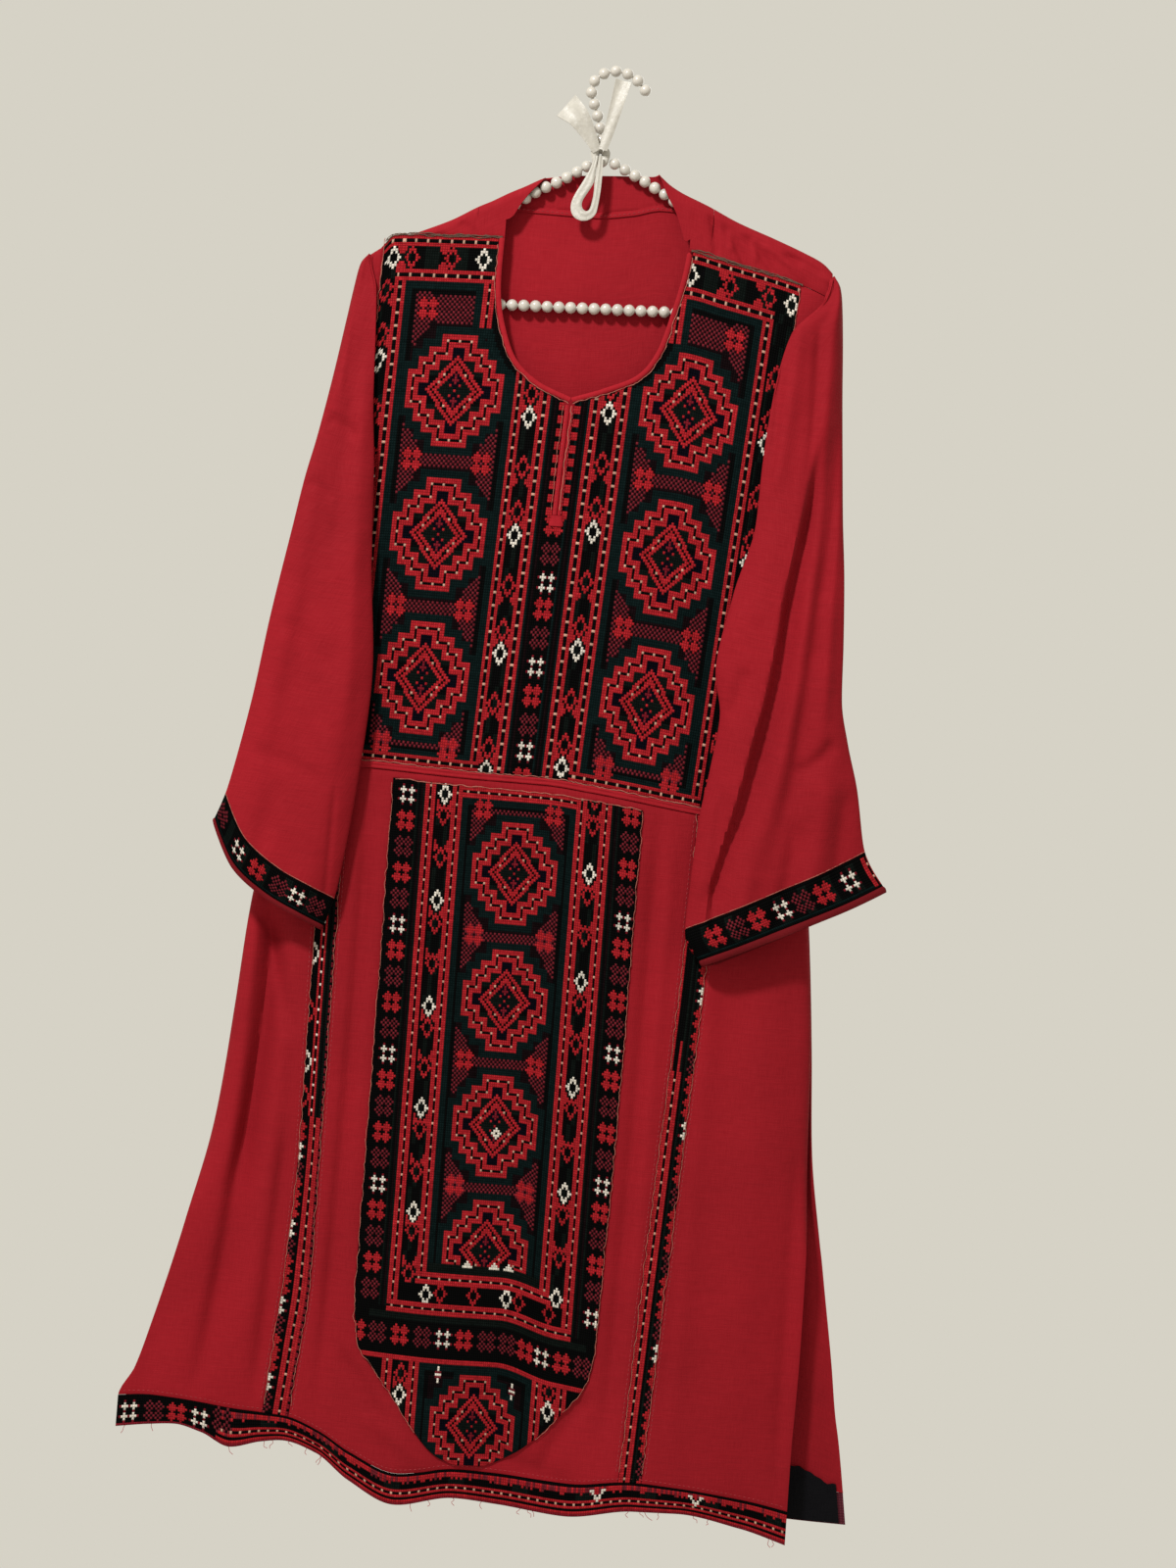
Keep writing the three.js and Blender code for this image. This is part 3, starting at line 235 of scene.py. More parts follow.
# from x, z to x, z, then bow, width, height, lean
FRONT_CREASES = [
    (-178, -300, -172, -575, 0, 6, -3.0, 0.3), (-150, -480, -120, -575, 4, 9, -1.6, 0),
    (96, -330, 118, -590, -5, 12, -2.4, 0.2), (60, -500, 40, -592, 3, 10, -1.4, 0),
    (-60, -290, -66, -560, 2, 14, -1.4, 0), (20, -280, 14, -560, -2, 14, -1.4, 0),
    (-158, -600, -163, -1110, 3, 6, -4.6, 0.3), (-148, -640, -150, -1000, 0, 9, 1.6, 0),
    (82, -605, 74, -1130, 2, 6, -4.2, -0.3), (94, -620, 88, -1060, 0, 6, 1.6, 0),
    (-234, -690, -262, -1100, 8, 10, -8.0, 0.4), (-214, -740, -228, -1100, 4, 9, 2.6, 0),
    (-262, -800, -302, -1100, -6, 11, -4.4, 0.3), (-246, -700, -208, -810, 6, 7, -4.4, 0.2),
    (-204, -880, -214, -1110, 0, 5, -3.2, 0.2), (150, -700, 144, -1140, -3, 16, -2.2, 0.2),
    (172, -700, 180, -1150, 4, 14, 1.6, 0), (198, -700, 214, -1160, 3, 9, -1.4, 0),
    (126, -740, 118, -1130, 0, 6, -1.8, 0), (214, -860, 218, -1160, 0, 5, -2.4, 0),
    (-230, -700, -246, -940, 6, 9, -9.0, 0.5), (-120, -1088, 44, -1082, -3, 5, -1.6, 0),
    (-134, -1000, 60, -1016, 5, 6, 1.4, 0),
    (-110, -700, -112, -1000, 0, 16, -1.6, 0), (40, -690, 36, -1040, 0, 16, -1.6, 0),
    (-40, -1120, 60, -1156, -6, 7, -3.2, 0.2), (-126, -1112, -62, -1156, 5, 7, 2.8, 0),
    (-150, -1060, -96, -1150, 6, 6, -3.0, 0.2), (62, -1080, 24, -1150, -5, 6, -2.8, 0),
]
BACK_CREASES = [
    (-150, -150, -170, -420, 5, 10, -2.4, 0.2), (150, -150, 166, -420, -5, 10, -2.2, 0.2),
    (-90, -160, -60, -460, -6, 16, -1.6, 0), (80, -150, 50, -500, 6, 15, -1.5, 0),
    (-20, -130, -14, -420, 0, 12, -1.2, 0), (30, -300, 40, -760, 4, 18, -2.0, 0.1),
    (-110, -420, -130, -900, 6, 15, -2.8, 0.2), (120, -430, 140, -900, -6, 15, -2.6, -0.2),
    (-40, -560, -56, -1110, 6, 16, -3.4, 0.2), (-170, -560, -216, -1100, 8, 13, -3.8, 0.3),
    (-230, -760, -270, -1100, -4, 12, -3.2, 0), (60, -620, 78, -1130, -5, 16, -3.4, -0.2),
    (176, -600, 214, -1130, 6, 13, -3.6, 0.2), (10, -760, 16, -1140, 0, 14, 2.4, 0),
    (-96, -700, -112, -1120, 0, 13, 2.6, 0), (120, -760, 142, -1140, 0, 13, 2.6, 0),
    (-190, -800, -240, -1100, 0, 10, 2.0, 0), (226, -900, 250, -1150, 0, 9, -2.4, 0),
    (-160, -345, 160, -352, 8, 9, -0.8, 0), (-140, -575, 150, -582, -6, 8, -0.7, 0),
]
SHOULDER_CREASES = [
    (94, -118, 118, -158, 3, 3.4, -2.6, 0.2), (112, -126, 142, -160, 3, 3.2, -2.4, 0),
    (128, -131, 166, -160, 2, 3, 2.0, 0), (146, -138, 182, -156, 2, 2.6, -2.2, 0),
    (84, -110, 92, -146, 1, 3, -2.2, 0), (-120, -132, -104, -144, 1, 3.5, -1.4, 0),
    (-150, -146, -128, -143, 0, 3, -1.2, 0), (160, -144, 190, -160, 0, 2.6, 1.8, 0),
    (100, -122, 104, -140, 1, 2.4, 1.6, 0), (120, -128, 124, -148, 1, 2.4, 1.6, 0),
]


def closing(x, z, left, right):
    inside = np.minimum(x - left(z), right(z) - x) / SIDE_ROUNDING
    rounded = np.sqrt(1 - (1 - np.clip(inside, 0, 1)) ** 2)
    is_open = np.maximum(smooth(UNDERARM - 15, UNDERARM + 25, z),
                         1 - smooth(SIDE_SLIT_TOP - 70, SIDE_SLIT_TOP, z))
    return blend(rounded, 1, is_open)


def front_depth(x, z):
    flare = 1 - smooth(-1191, -800, z)
    wave = 6 * flare * np.sin(2 * math.pi * (x + 130) / 200)
    return 1 + (front_level(z) + wave - 1) * closing(x, z, left_edge, right_edge)


def back_depth(x, z):
    flare = 1 - smooth(-1191, -750, z)
    wave = 5 * flare * np.sin(2 * math.pi * (x - 20) / 240)
    return 1 + (back_level(z) + wave - 1) * closing(x, z, back_left_edge, back_right_edge)


def on_front(x, z, lift):
    """A point on the front layer, `lift` outside its inner face."""
    relief = creases(FRONT_CREASES, x, z) + creases(SHOULDER_CREASES, x, z)
    relief = relief + 0.5 * (1 - smooth(-320, -200, z)) * rumple(x, z, 62, 11)
    return point(x, -(front_depth(x, z) + relief + lift), z)


def on_back(x, z, lift):
    relief = creases(BACK_CREASES, x, z) + 0.8 * (1 - smooth(-320, -200, z)) * rumple(x, z, 74, 17)
    return point(x, back_depth(x, z) + relief + lift, z)


def over_shoulder(x, reach, inwards=0.0):
    """A point on the layer that rolls over the hanger's arms: reach is the distance over
    the cloth from its top line, negative behind and positive in front."""
    angle = np.clip(reach / SHOULDER_RADIUS, -math.pi / 2, math.pi / 2)
    down = np.maximum(np.abs(reach) - SHOULDER_RADIUS * math.pi / 2, 0)
    centre = ridge(x) - SHOULDER_RADIUS
    radius = SHOULDER_RADIUS - inwards
    z = centre + radius * np.cos(angle) - down
    relief = creases(SHOULDER_CREASES, x, z)
    return point(x, -(radius + relief) * np.sin(angle), z + relief * np.cos(angle))


def reach_to(x, z):
    centre = ridge(x) - SHOULDER_RADIUS
    over = SHOULDER_RADIUS * np.arccos(np.clip((z - centre) / SHOULDER_RADIUS, -1, 1))
    return np.where(z <= centre, SHOULDER_RADIUS * math.pi / 2 + centre - z, over)


def curve_through(points, stations):
    """Points on the smooth centripetal curve through guide points, at stations counted in
    guide points. The guide points may be a whole array of curves: (..., guide, axis)."""
    guide = np.asarray(points, float)
    first = 2 * guide[..., :1, :] - guide[..., 1:2, :]
    last = 2 * guide[..., -1:, :] - guide[..., -2:-1, :]
    guide = np.concatenate([first, guide, last], -2)
    count = guide.shape[-2] - 2
    i = np.clip(np.floor(stations).astype(int), 0, count - 2)
    t = (np.asarray(stations) - i)[:, None]
    p0, p1, p2, p3 = (guide[..., i + k, :] for k in range(4))
    gap = [np.maximum(np.linalg.norm(b - a, axis=-1, keepdims=True), 1e-6) ** 0.5
           for a, b in ((p0, p1), (p1, p2), (p2, p3))]
    t1 = ((p1 - p0) / gap[0] - (p2 - p0) / (gap[0] + gap[1]) + (p2 - p1) / gap[1]) * gap[1]
    t2 = ((p2 - p1) / gap[1] - (p3 - p1) / (gap[1] + gap[2]) + (p3 - p2) / gap[2]) * gap[1]
    c2 = -3 * p1 + 3 * p2 - 2 * t1 - t2
    c3 = 2 * p1 - 2 * p2 + t1 + t2
    return p1 + t1 * t + c2 * t ** 2 + c3 * t ** 3


def along_curve(points, step=None, count=None):
    """The smooth curve through the points, at equal distances: places and directions."""
    dense = curve_through(points, np.linspace(0, len(points) - 1, 40 * len(points)))
    run = np.concatenate([[0], np.cumsum(np.linalg.norm(np.diff(dense, axis=0), axis=1))])
    if count is None:
        count = int(round(run[-1] / step)) + 1
    where = np.linspace(0, run[-1], count)
    place = np.stack([np.interp(where, run, dense[:, k]) for k in range(3)], -1)
    return place, unit(np.gradient(place, axis=0)), run[-1]


# Meshes

def grid_faces(rows, columns):
    first = np.arange((rows - 1) * columns).reshape(rows - 1, columns)[:, :-1]
    return np.stack([first, first + columns, first + columns + 1, first + 1], -1).reshape(-1, 4)


def inner_skin(outer, thickness):
    """The same grid moved inwards along its own normals."""
    normal = np.cross(np.gradient(outer, axis=0), np.gradient(outer, axis=1))
    return outer - unit(normal, TINY) * thickness


def cloth_wall(name, outer, inner, grid=None, threads=None, keep=None):
    """A closed wall between two grids of points in millimetres. The rows run down and the
    columns to the right, seen from outside. Points that fall together are welded, cells
    that vanish are left out, and every open edge gets a rim. `grid` gives each point its
    place on the cloth, and `threads` each outer cell its colour."""
    height, width = outer.shape[:2]
    outer, inner = outer.reshape(-1, 3), inner.reshape(-1, 3)
    count = len(outer)
    faces = grid_faces(height, width)
    colours = np.ones((len(faces), 3)) if threads is None else threads.reshape(-1, 3)
    if grid is None:
        grid = np.stack(np.meshgrid(np.arange(width), np.arange(height)), -1) * 1.0
    places = grid.reshape(-1, 2)[faces]
    if keep is not None:
        chosen = keep.ravel()
        faces, colours, places = faces[chosen], colours[chosen], places[chosen]
    first, same = np.unique(np.round(outer, 3), axis=0, return_index=True, return_inverse=True)[1:]
    corners = first[same.ravel()][faces]
    distinct = corners != np.roll(corners, 1, axis=1)
    order = np.argsort(~distinct, axis=1, kind="stable")
    corners = np.take_along_axis(corners, order, 1)
    places = np.take_along_axis(places, order[..., None], 1)
    polygons, tints, spots, edges = [], [], [], []
    for size in (3, 4):
        chosen = distinct.sum(1) == size
        shape, tint, spot = corners[chosen][:, :size], colours[chosen], places[chosen][:, :size]
        polygons += [shape, shape[:, ::-1] + count]
        tints += [tint, np.broadcast_to(REVERSE, tint.shape)]
        spots += [spot, spot[:, ::-1]]
        ahead = np.roll(shape, -1, 1)
        edges.append((shape.ravel(), ahead.ravel(), np.repeat(tint, size, 0),
                      spot.reshape(-1, 2), np.roll(spot, -1, 1).reshape(-1, 2)))
    start, end, tint, spot, spot_ahead = (np.concatenate(part) for part in zip(*edges))
    is_open = ~np.isin(start * count + end, end * count + start)
    start, end, tint = start[is_open], end[is_open], tint[is_open]
    spot, spot_ahead = spot[is_open], spot_ahead[is_open]
    polygons.append(np.stack([end, start, start + count, end + count], -1))
    tints.append(tint)
    spots.append(np.stack([spot_ahead, spot, spot, spot_ahead], 1))
    return make_mesh(name, np.concatenate([outer, inner]), polygons, spots, tints)


def make_mesh(name, points, polygons, spots=None, tints=None, sharp=50):
    """A mesh from points in millimetres and arrays of polygons with equal counts of sides."""
    used, renumbered = np.unique(np.concatenate([p.ravel() for p in polygons]), return_inverse=True)
    mesh = bpy.data.meshes.new(f"{name}_made")
    mesh.vertices.add(len(used))
    mesh.vertices.foreach_set("co", (points[used] * MM).astype(np.float32).ravel())
    mesh.loops.add(len(renumbered))
    mesh.loops.foreach_set("vertex_index", renumbered.astype(np.int32).ravel())
    sizes = np.concatenate([np.full(len(p), p.shape[1]) for p in polygons])
    mesh.polygons.add(len(sizes))
    mesh.polygons.foreach_set("loop_start", np.concatenate([[0], np.cumsum(sizes)[:-1]]).astype(np.int32))
    mesh.update(calc_edges=True)
    mesh.polygons.foreach_set("use_smooth", np.ones(len(sizes), bool))
    mesh.set_sharp_from_angle(angle=math.radians(sharp))
    if spots is not None:
        places = mesh.uv_layers.new(name="cloth")
        flat = np.concatenate([s.reshape(-1, 2) for s in spots]).astype(np.float32)
        places.uv.foreach_set("vector", flat.ravel())
    if tints is not None:
        thread = mesh.attributes.new("thread", "FLOAT_COLOR", "FACE")
        tint = np.concatenate(tints)
        tint = np.column_stack([tint, np.ones(len(tint))]).astype(np.float32)
        thread.data.foreach_set("color", tint.ravel())
    return mesh


def add_piece(mesh, look, in_cad=True):
    """Show a mesh with its material. It stands for the CAD node of its name."""
    obj = bpy.data.objects.new(mesh.name, mesh)
    bpy.context.scene.collection.objects.link(obj)
    material, slot = look
    mesh.materials.append(material)
    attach(obj, "root")
    if in_cad:
        node = mesh.name.removesuffix("_made")
        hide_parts(node)
    return obj


def join(parts):
    """Join (points, polygons) pairs into one list of points and polygons."""
    points, polygons, offset = [], [], 0
    for own_points, own_polygons in parts:
        points.append(own_points)
        polygons += [p + offset for p in own_polygons]
        offset += len(own_points)
    return np.concatenate(points), polygons


def tube(place, ahead, radius, corners=6):
    """Rings of points along a line; radius is a number or one for each point."""
    across = unit(np.cross(ahead, BACKWARDS), TINY)
    over = np.cross(across, ahead)
    turn = np.arange(corners) * 2 * math.pi / corners
    ring = np.cos(turn)[:, None] * across[:, None] + np.sin(turn)[:, None] * over[:, None]
    radius = np.broadcast_to(radius, len(place))[:, None, None]
    i, j = np.meshgrid(np.arange(len(place) - 1), np.arange(corners), indexing="ij")
    a, b = i * corners + j, i * corners + (j + 1) % corners
    walls = np.stack([a, b, b + corners, a + corners], -1).reshape(-1, 4)
    last = (len(place) - 1) * corners
    caps = np.array([np.arange(corners)[::-1], last + np.arange(corners)])
    return (place[:, None] + ring * radius).reshape(-1, 3), [walls, caps]


# Finishes

def linear(rgb):
    """A colour given as 0 to 255 sRGB, as scene-linear values."""
    value = np.asarray(rgb, float) / 255
    return np.where(value <= 0.04045, value / 12.92, ((value + 0.055) / 1.055) ** 2.4)


class Shade:
    """One socket of a material's nodes. Sums written on it add Math nodes."""

    def __init__(self, tree, socket=None):
        self.tree, self.socket = tree, socket

    def node(self, kind, settings=None, sockets=None, output=0):
        """Add any other node: its type, its settings, then the values or links it takes."""
        made = self.tree.nodes.new("ShaderNode" + kind)
        for name, value in (settings or {}).items():
            if name == "stops":
                ramp = made.color_ramp.elements
                while len(ramp) < len(value):
                    ramp.new(1)
                for stop, (place, colour) in zip(ramp, value):
                    stop.position, stop.color = place, colour
            else:
                setattr(made, name, value)
        for name, value in (sockets or {}).items():
            if isinstance(value, Shade):
                self.tree.links.new(value.socket, made.inputs[name])
            else:
                made.inputs[name].default_value = value
        return Shade(self.tree, made.outputs[output])

    def math(self, operation, *values):
        return self.node("Math", {"operation": operation}, dict(enumerate(values)))

    def __add__(self, other):
        return self.math("ADD", self, other)

    def __sub__(self, other):
        return self.math("SUBTRACT", self, other)

    def __rsub__(self, other):
        return self.math("SUBTRACT", other, self)

    def __mul__(self, other):
        return self.math("MULTIPLY", self, other)

    def __pow__(self, other):
        return self.math("POWER", self, other)

    __radd__, __rmul__ = __add__, __mul__

    def mixed(self, low, high):
        """A colour between two others, by this amount."""
        return self.node("Mix", {"data_type": "RGBA"}, {0: self, 6: low, 7: high}, 2)

    def times(self, factors):
        return self.node("VectorMath", {"operation": "MULTIPLY"}, {0: self, 1: factors})

    def noise(self, place, scale, detail=2.0, roughness=0.5):
        return self.node("TexNoise", {}, {"Vector": place, "Scale": scale, "Detail": detail,
                                          "Roughness": roughness})


def finish(name, build, **constants):
    """A material whose nodes `build` makes: it returns the colour, the height, how high
    that is in metres and, if it varies, the roughness."""
    material = bpy.data.materials.get(name)
    if material:
        return material
    material = bpy.data.materials.new(name)
    material.use_nodes = True
    tree = material.node_tree
    shader = tree.nodes["Principled BSDF"]
    for socket, value in constants.items():
        shader.inputs[socket.replace("_", " ")].default_value = value
    parts = build(Shade(tree))
    colour, height, distance = parts[:3]
    tree.links.new(colour.socket, shader.inputs["Base Color"])
    if height is not None:
        bump = colour.node("Bump", {}, {"Strength": 1.0, "Distance": distance, "Height": height})
        tree.links.new(bump.socket, shader.inputs["Normal"])
    if len(parts) > 3:
        tree.links.new(parts[3].socket, shader.inputs["Roughness"])
    return material


def rgba(rgb, scale=1.0):
    return (*(float(v) * scale for v in rgb[:3]), 1.0)


def plain_cloth(name, slot, colour, weave=0.0008, sheen=0.06):
    """A thin plain-weave cloth: uneven threads both ways, a faint fade and fine rumples."""
    def build(s):
        place = s.node("TexCoord", output=2)
        solid = s.node("TexCoord", output=3)
        warp = s.noise(place.times((1 / weave, 0.06 / weave, 1)), 1.0, 1.5)
        weft = s.noise(place.times((0.06 / weave, 1 / weave, 1)), 1.0, 1.5)
        slub = s.noise(place.times((30, 420, 1)), 1.0, 2.0)
        fade = s.noise(solid, 6.0, 3.0)
        soft = s.noise(solid, 34.0, 3.0, 0.55)
        threads = (warp + weft) * 0.5
        tone = (fade - 0.5) * 0.9 + (slub - 0.5) * 0.35 + (threads - 0.5) * 0.8 + 0.5
        tinted = tone.mixed(rgba(colour, 0.74), rgba(colour, 1.24))
        height = threads * 0.30 + soft * 1.0 + slub * 0.06
        return tinted, height, 0.0011, 0.84 - (threads - 0.5) * 0.5
    tint = rgba([min(v * 2.2 + 0.05, 1) for v in colour])
    return finish(name, build, Sheen_Weight=sheen, Sheen_Roughness=0.45, Sheen_Tint=tint,
                  Specular_IOR_Level=0.12), slot


def worked_cloth():
    """Floss laid in small square stitches over the cloth, one colour for each stitch, with painted shade at
    the edges of each stitch and between its strands.
    """
    def build(s):
        place = s.node("TexCoord", output=2)
        solid = s.node("TexCoord", output=3)
        thread = s.node("Attribute", {"attribute_name": "thread"})
        along = s.node("SeparateXYZ", {}, {0: place}, 0)
        down = s.node("SeparateXYZ", {}, {0: place}, 1)
        across = s.math("ABSOLUTE", s.math("FRACT", along) - 0.5) * 2
        deep = s.math("ABSOLUTE", s.math("FRACT", down) - 0.5) * 2
        pillow = (1 - across ** 3.0) * (1 - deep ** 2.4)
        strands = s.math("SINE", (along * 0.25 + down) * (2 * math.pi * 4)) * 0.5 + 0.5
        wear = s.noise(solid, 90.0, 3.0, 0.6)
        # painted shade: each stitch is lighter in its middle and darker at its edges and in the grooves
        # between its strands; the wear noise adds random tone on top
        painted_shade_and_wear = pillow * 0.34 + strands * 0.10 + (wear - 0.5) * 0.5 + 0.66
        colour = thread.node("VectorMath", {"operation": "SCALE"}, {0: thread, "Scale": painted_shade_and_wear})
        return colour, pillow * 0.8 + strands * 0.12 + wear * 0.35, 0.0007, 0.55 + wear * 0.3
    return finish("Counted silk embroidery", build, Specular_IOR_Level=0.015), "embroidered_cloth"


def pearl(colour):
    def build(s):
        solid = s.node("TexCoord", output=3)
        cloud = s.noise(solid, 60.0, 2.0)
        nacre = s.noise(solid, 420.0, 3.0)
        tone = s.node("ValToRGB", {"stops": [(0.3, rgba(colour, 0.9)), (0.5, rgba(colour)),
                                             (0.7, rgba(colour, 0.8))]}, {0: cloud})
        return tone, nacre, 0.00006, 0.2 + cloud * 0.14
    return finish("Pearl beads", build, Coat_Weight=1.0, Coat_Roughness=0.05,
                  Specular_IOR_Level=0.6), "pearl_beads"


def satin(colour):
    def build(s):
        place = s.node("TexCoord", output=2)
        rib = s.noise(place.times((180, 3400, 1)), 1.0, 2.0)
        soft = s.noise(place.times((160, 160, 1)), 1.0, 2.0)
        tone = (rib - 0.5) * 0.6 + (soft - 0.5) * 0.8 + 0.5
        tinted = tone.mixed(rgba(colour, 0.7), rgba(colour, 1.06))
        return tinted, rib * 0.5 + soft, 0.0005, 0.3 + rib * 0.2
    return finish("Cream satin ribbon", build, Sheen_Weight=0.3,
                  Specular_IOR_Level=0.6), "satin_ribbon"


def loose_thread(name, slot, low, high):
    def build(s):
        solid = s.node("TexCoord", output=3)
        grain = s.noise(solid, 300.0, 2.0)
        return grain.mixed(rgba(low), rgba(high)), grain, 0.0002
    return finish(name, build, Roughness=0.85, Sheen_Weight=0.2), slot


# The counted charts

BLACK, GREEN, MAROON, RED, PINK, WHITE, NAVY, LEAF, DIM, DOT = range(10)
THREADS = {
    BLACK: (6, 5, 6), GREEN: (10, 22, 22), MAROON: (17, 8, 10), RED: (152, 30, 36),
    PINK: (98, 29, 37), WHITE: (206, 198, 186), NAVY: (9, 7, 15), LEAF: (12, 17, 15),
    DIM: (104, 22, 32), DOT: (172, 134, 116),
}
TRACK = (RED, RED, BLACK, RED, RED)
STEPS = ((7, 21), (12, 16), (16, 12), (20, 7))


def in_steps(x, y, spare=0):
    return np.any([(abs(x) <= w + spare) & (abs(y) <= h + spare) for w, h in STEPS], axis=0)


class Chart:
    """A counted pattern with one thread number for each stitch, filled in by rule."""

    def __init__(self, height, width, ground=BLACK):
        self.cells = np.full((height, width), ground)

    def block(self, top, bottom, left, right, thread):
        self.cells[max(top, 0):max(bottom, 0), max(left, 0):max(right, 0)] = thread

    def where(self, rule, thread):
        row, column = np.ogrid[:self.cells.shape[0], :self.cells.shape[1]]
        self.cells[np.broadcast_to(rule(row, column), self.cells.shape)] = thread

    def stamp(self, row, column, motif):
        """Lay a motif over the chart with its middle at a stitch; -1 leaves what is there."""
        top = int(round(row - (motif.shape[0] - 1) / 2))
        left = int(round(column - (motif.shape[1] - 1) / 2))
        low, high = max(top, 0), min(top + motif.shape[0], self.cells.shape[0])
        near, far = max(left, 0), min(left + motif.shape[1], self.cells.shape[1])
        if low < high and near < far:
            part = motif[low - top:high - top, near - left:far - left]
            under = self.cells[low:high, near:far]
            under[part >= 0] = part[part >= 0]

    def lines_down(self, left, threads, top, bottom):
        for k, thread in enumerate(threads):
            self.block(top, bottom, left + k, left + k + 1, thread)

    def lines_across(self, top, threads, left, right):
        for k, thread in enumerate(threads):
            self.block(top + k, top + k + 1, left, right, thread)

    def track_down(self, left, top, bottom, phase=0):
        """A black line with a pale stitch at every fifth row, between pairs of red lines."""
        self.lines_down(left, TRACK, top, bottom)
        for row in range(top + phase, bottom, 5):
            self.block(row, row + 1, left + 2, left + 3, DOT)

    def track_across(self, top, left, right, phase=0):
        self.lines_across(top, TRACK, left, right)
        for column in range(left + phase, right, 5):
            self.block(top + 2, top + 3, column, column + 1, DOT)


def motif(height, width, rule):
    """A motif from a rule on the distance from its middle, across and down."""
    y = np.arange(height)[:, None] - (height - 1) / 2
    x = np.arange(width)[None, :] - (width - 1) / 2
    cells = np.full((height, width), -1)
    for chosen, thread in rule(x, y):
        cells[np.broadcast_to(chosen, cells.shape)] = thread
    return cells


def diamond(thread):
    def rule(x, y):
        d = abs(x) + 0.75 * abs(y)
        return [((d > 1.9) & (d < 3.3), thread)]
    return motif(9, 7, rule)


def rosette(thread):
    """Four petals round a dark heart. White ones are stars with dim tips; a dim one is a checked net."""
    def rule(x, y):
        u, v = abs(abs(x) - 2), abs(abs(y) - 2)
        petal = u + v <= 2
        if thread == DIM:
            return [(petal, BLACK), (petal & ((x + y) % 2 == 0), PINK)]
        if thread == WHITE:
            return [(petal & (u * v == 0), DIM), (u + v <= 1, WHITE)]
        return [(petal, thread)]
    return motif(9, 9, rule)


def bumps(side):
    """The stepped red teeth where a strip's edge meets a pair of diamonds."""
    return motif(5, 2, lambda x, y: [((side * x > 0) | (abs(y - 0.5) < 1), RED)])


def medallion():
    def rule(x, y):
        ax, ay = abs(x), abs(y)

        def within(spare):
            return in_steps(x, y, spare)
        d = ax + 0.92 * ay
        dots = (x * 3 + y * 2) % 9 == 0
        turns = [(0, 19), (18, 0)] + [(w - 2, h - 2) for w, h in STEPS]
        turns += [(a[0] - 2, b[1] - 2) for a, b in zip(STEPS, STEPS[1:])]
        corners = np.any([(ax == w) & (ay == h) for w, h in turns], axis=0)
        inner = [(within(3), GREEN), (within(0), RED), (within(-2), BLACK),
                 (corners, DOT), (within(-3), RED), (within(-5), BLACK),
                 (within(-5) & (ax > 3.5) & (ay > 5.5), LEAF),
                 (within(-5) & ((ay < 3.5) | (ax < 3.5)), NAVY)]
        return inner + [
            (d <= 12.6, RED), (d <= 10.6, BLACK), ((d <= 10.6) & dots, DOT), (d <= 9.4, RED),
            (d <= 7.2, LEAF), ((d <= 7.2) & (ay > ax + 0.5), NAVY),
            ((d <= 6) & (abs(ax - ay) < 0.6) & (ax % 2 == 0), RED),
            (((ax < 0.6) & (abs(ay - 4.5) < 1.6)) | ((ax < 1.6) & (abs(ay - 4) < 0.6)), DIM)]
    return motif(49, 47, rule)


def field(chart, top, left, height, width, medallions, bands):
    """A column of medallions between green borders, with netted wedges in the corners."""
    part = Chart(height, width, MAROON)
    middle = (width - 1) / 2
    part.where(lambda r, c: (c < 5) | (c > width - 6) | (r < 5) | (r > height - 4), BLACK)
    part.where(lambda r, c: (c < 3) | (c > width - 4) | (r < 3) | (r > height - 3), GREEN)
    for row, reach in bands:
        def net(r, c):
            inwards = np.minimum(c, width - 1 - c) - 5
            wedge = (inwards >= 0) & (inwards < 11 - 0.7 * abs(r - row)) & (abs(r - row) <= 14)
            band = (inwards >= 9) & (abs(r - row) <= reach)
            return (wedge | band) & ((r + c) % 2 == 0) & (r > 3) & (r < height - 3)
        part.where(lambda r, c: (abs(r - row) == reach + 2) & (np.minimum(c, width - 1 - c) > 17), BLACK)
        part.where(net, PINK)
        for column in (10, width - 11):
            part.stamp(row, column, rosette(RED))
    for row in medallions:
        part.stamp(row, middle, medallion())
    chart.cells[top:top + height, left:left + width] = part.cells


def diamonds_down(chart, left, top, bottom, white, red, bump_after=4.5):
    """A dark strip with diamonds at the rows given, and teeth beside each red one."""
    width = 7
    chart.block(top, bottom, left, left + width, BLACK)
    span = np.arange(top, bottom)
    for column in range(left, left + width):
        chart.cells[top:bottom, column][(span // 9 + column // 2) % 3 == 0] = LEAF
    middle = left + (width - 1) / 2
    for row in red:
        if top <= row + bump_after < bottom:
            chart.stamp(row + bump_after, left + 0.5, bumps(-1))
            chart.stamp(row + bump_after, left + width - 1.5, bumps(1))
    for places, thread in ((red, RED), (white, WHITE)):
        for row in places:
            if top - 3 <= row < bottom + 3:
                chart.stamp(row, middle, diamond(thread))


def stitched(chart, seed):
    """The colour of each stitch, each a little different from the next."""
    random = np.random.default_rng(seed)
    palette = np.array([linear(THREADS[k]) for k in sorted(THREADS)])
    colours = palette[chart.cells]
    row_tone = 1 + 0.07 * np.sin(np.arange(len(colours)) * 1.9) * random.normal(1, 0.3, len(colours))
    tone = random.normal(1, 0.10, chart.cells.shape) * row_tone[:, None]
    return np.clip(colours * tone[..., None], 0.002, 0.95)


# Laying out the pieces

def spread(size, step, edge=(1.2, 3.2)):
    """Shares from 0 to 1 about `step` apart, with closer lines along both edges."""
    near = [e / size for e in edge]
    middle = np.linspace(near[-1], 1 - near[-1], max(int(size / step), 2))
    return np.concatenate([[0], near[:-1], middle, [1 - n for n in near[:-1]][::-1], [1]])


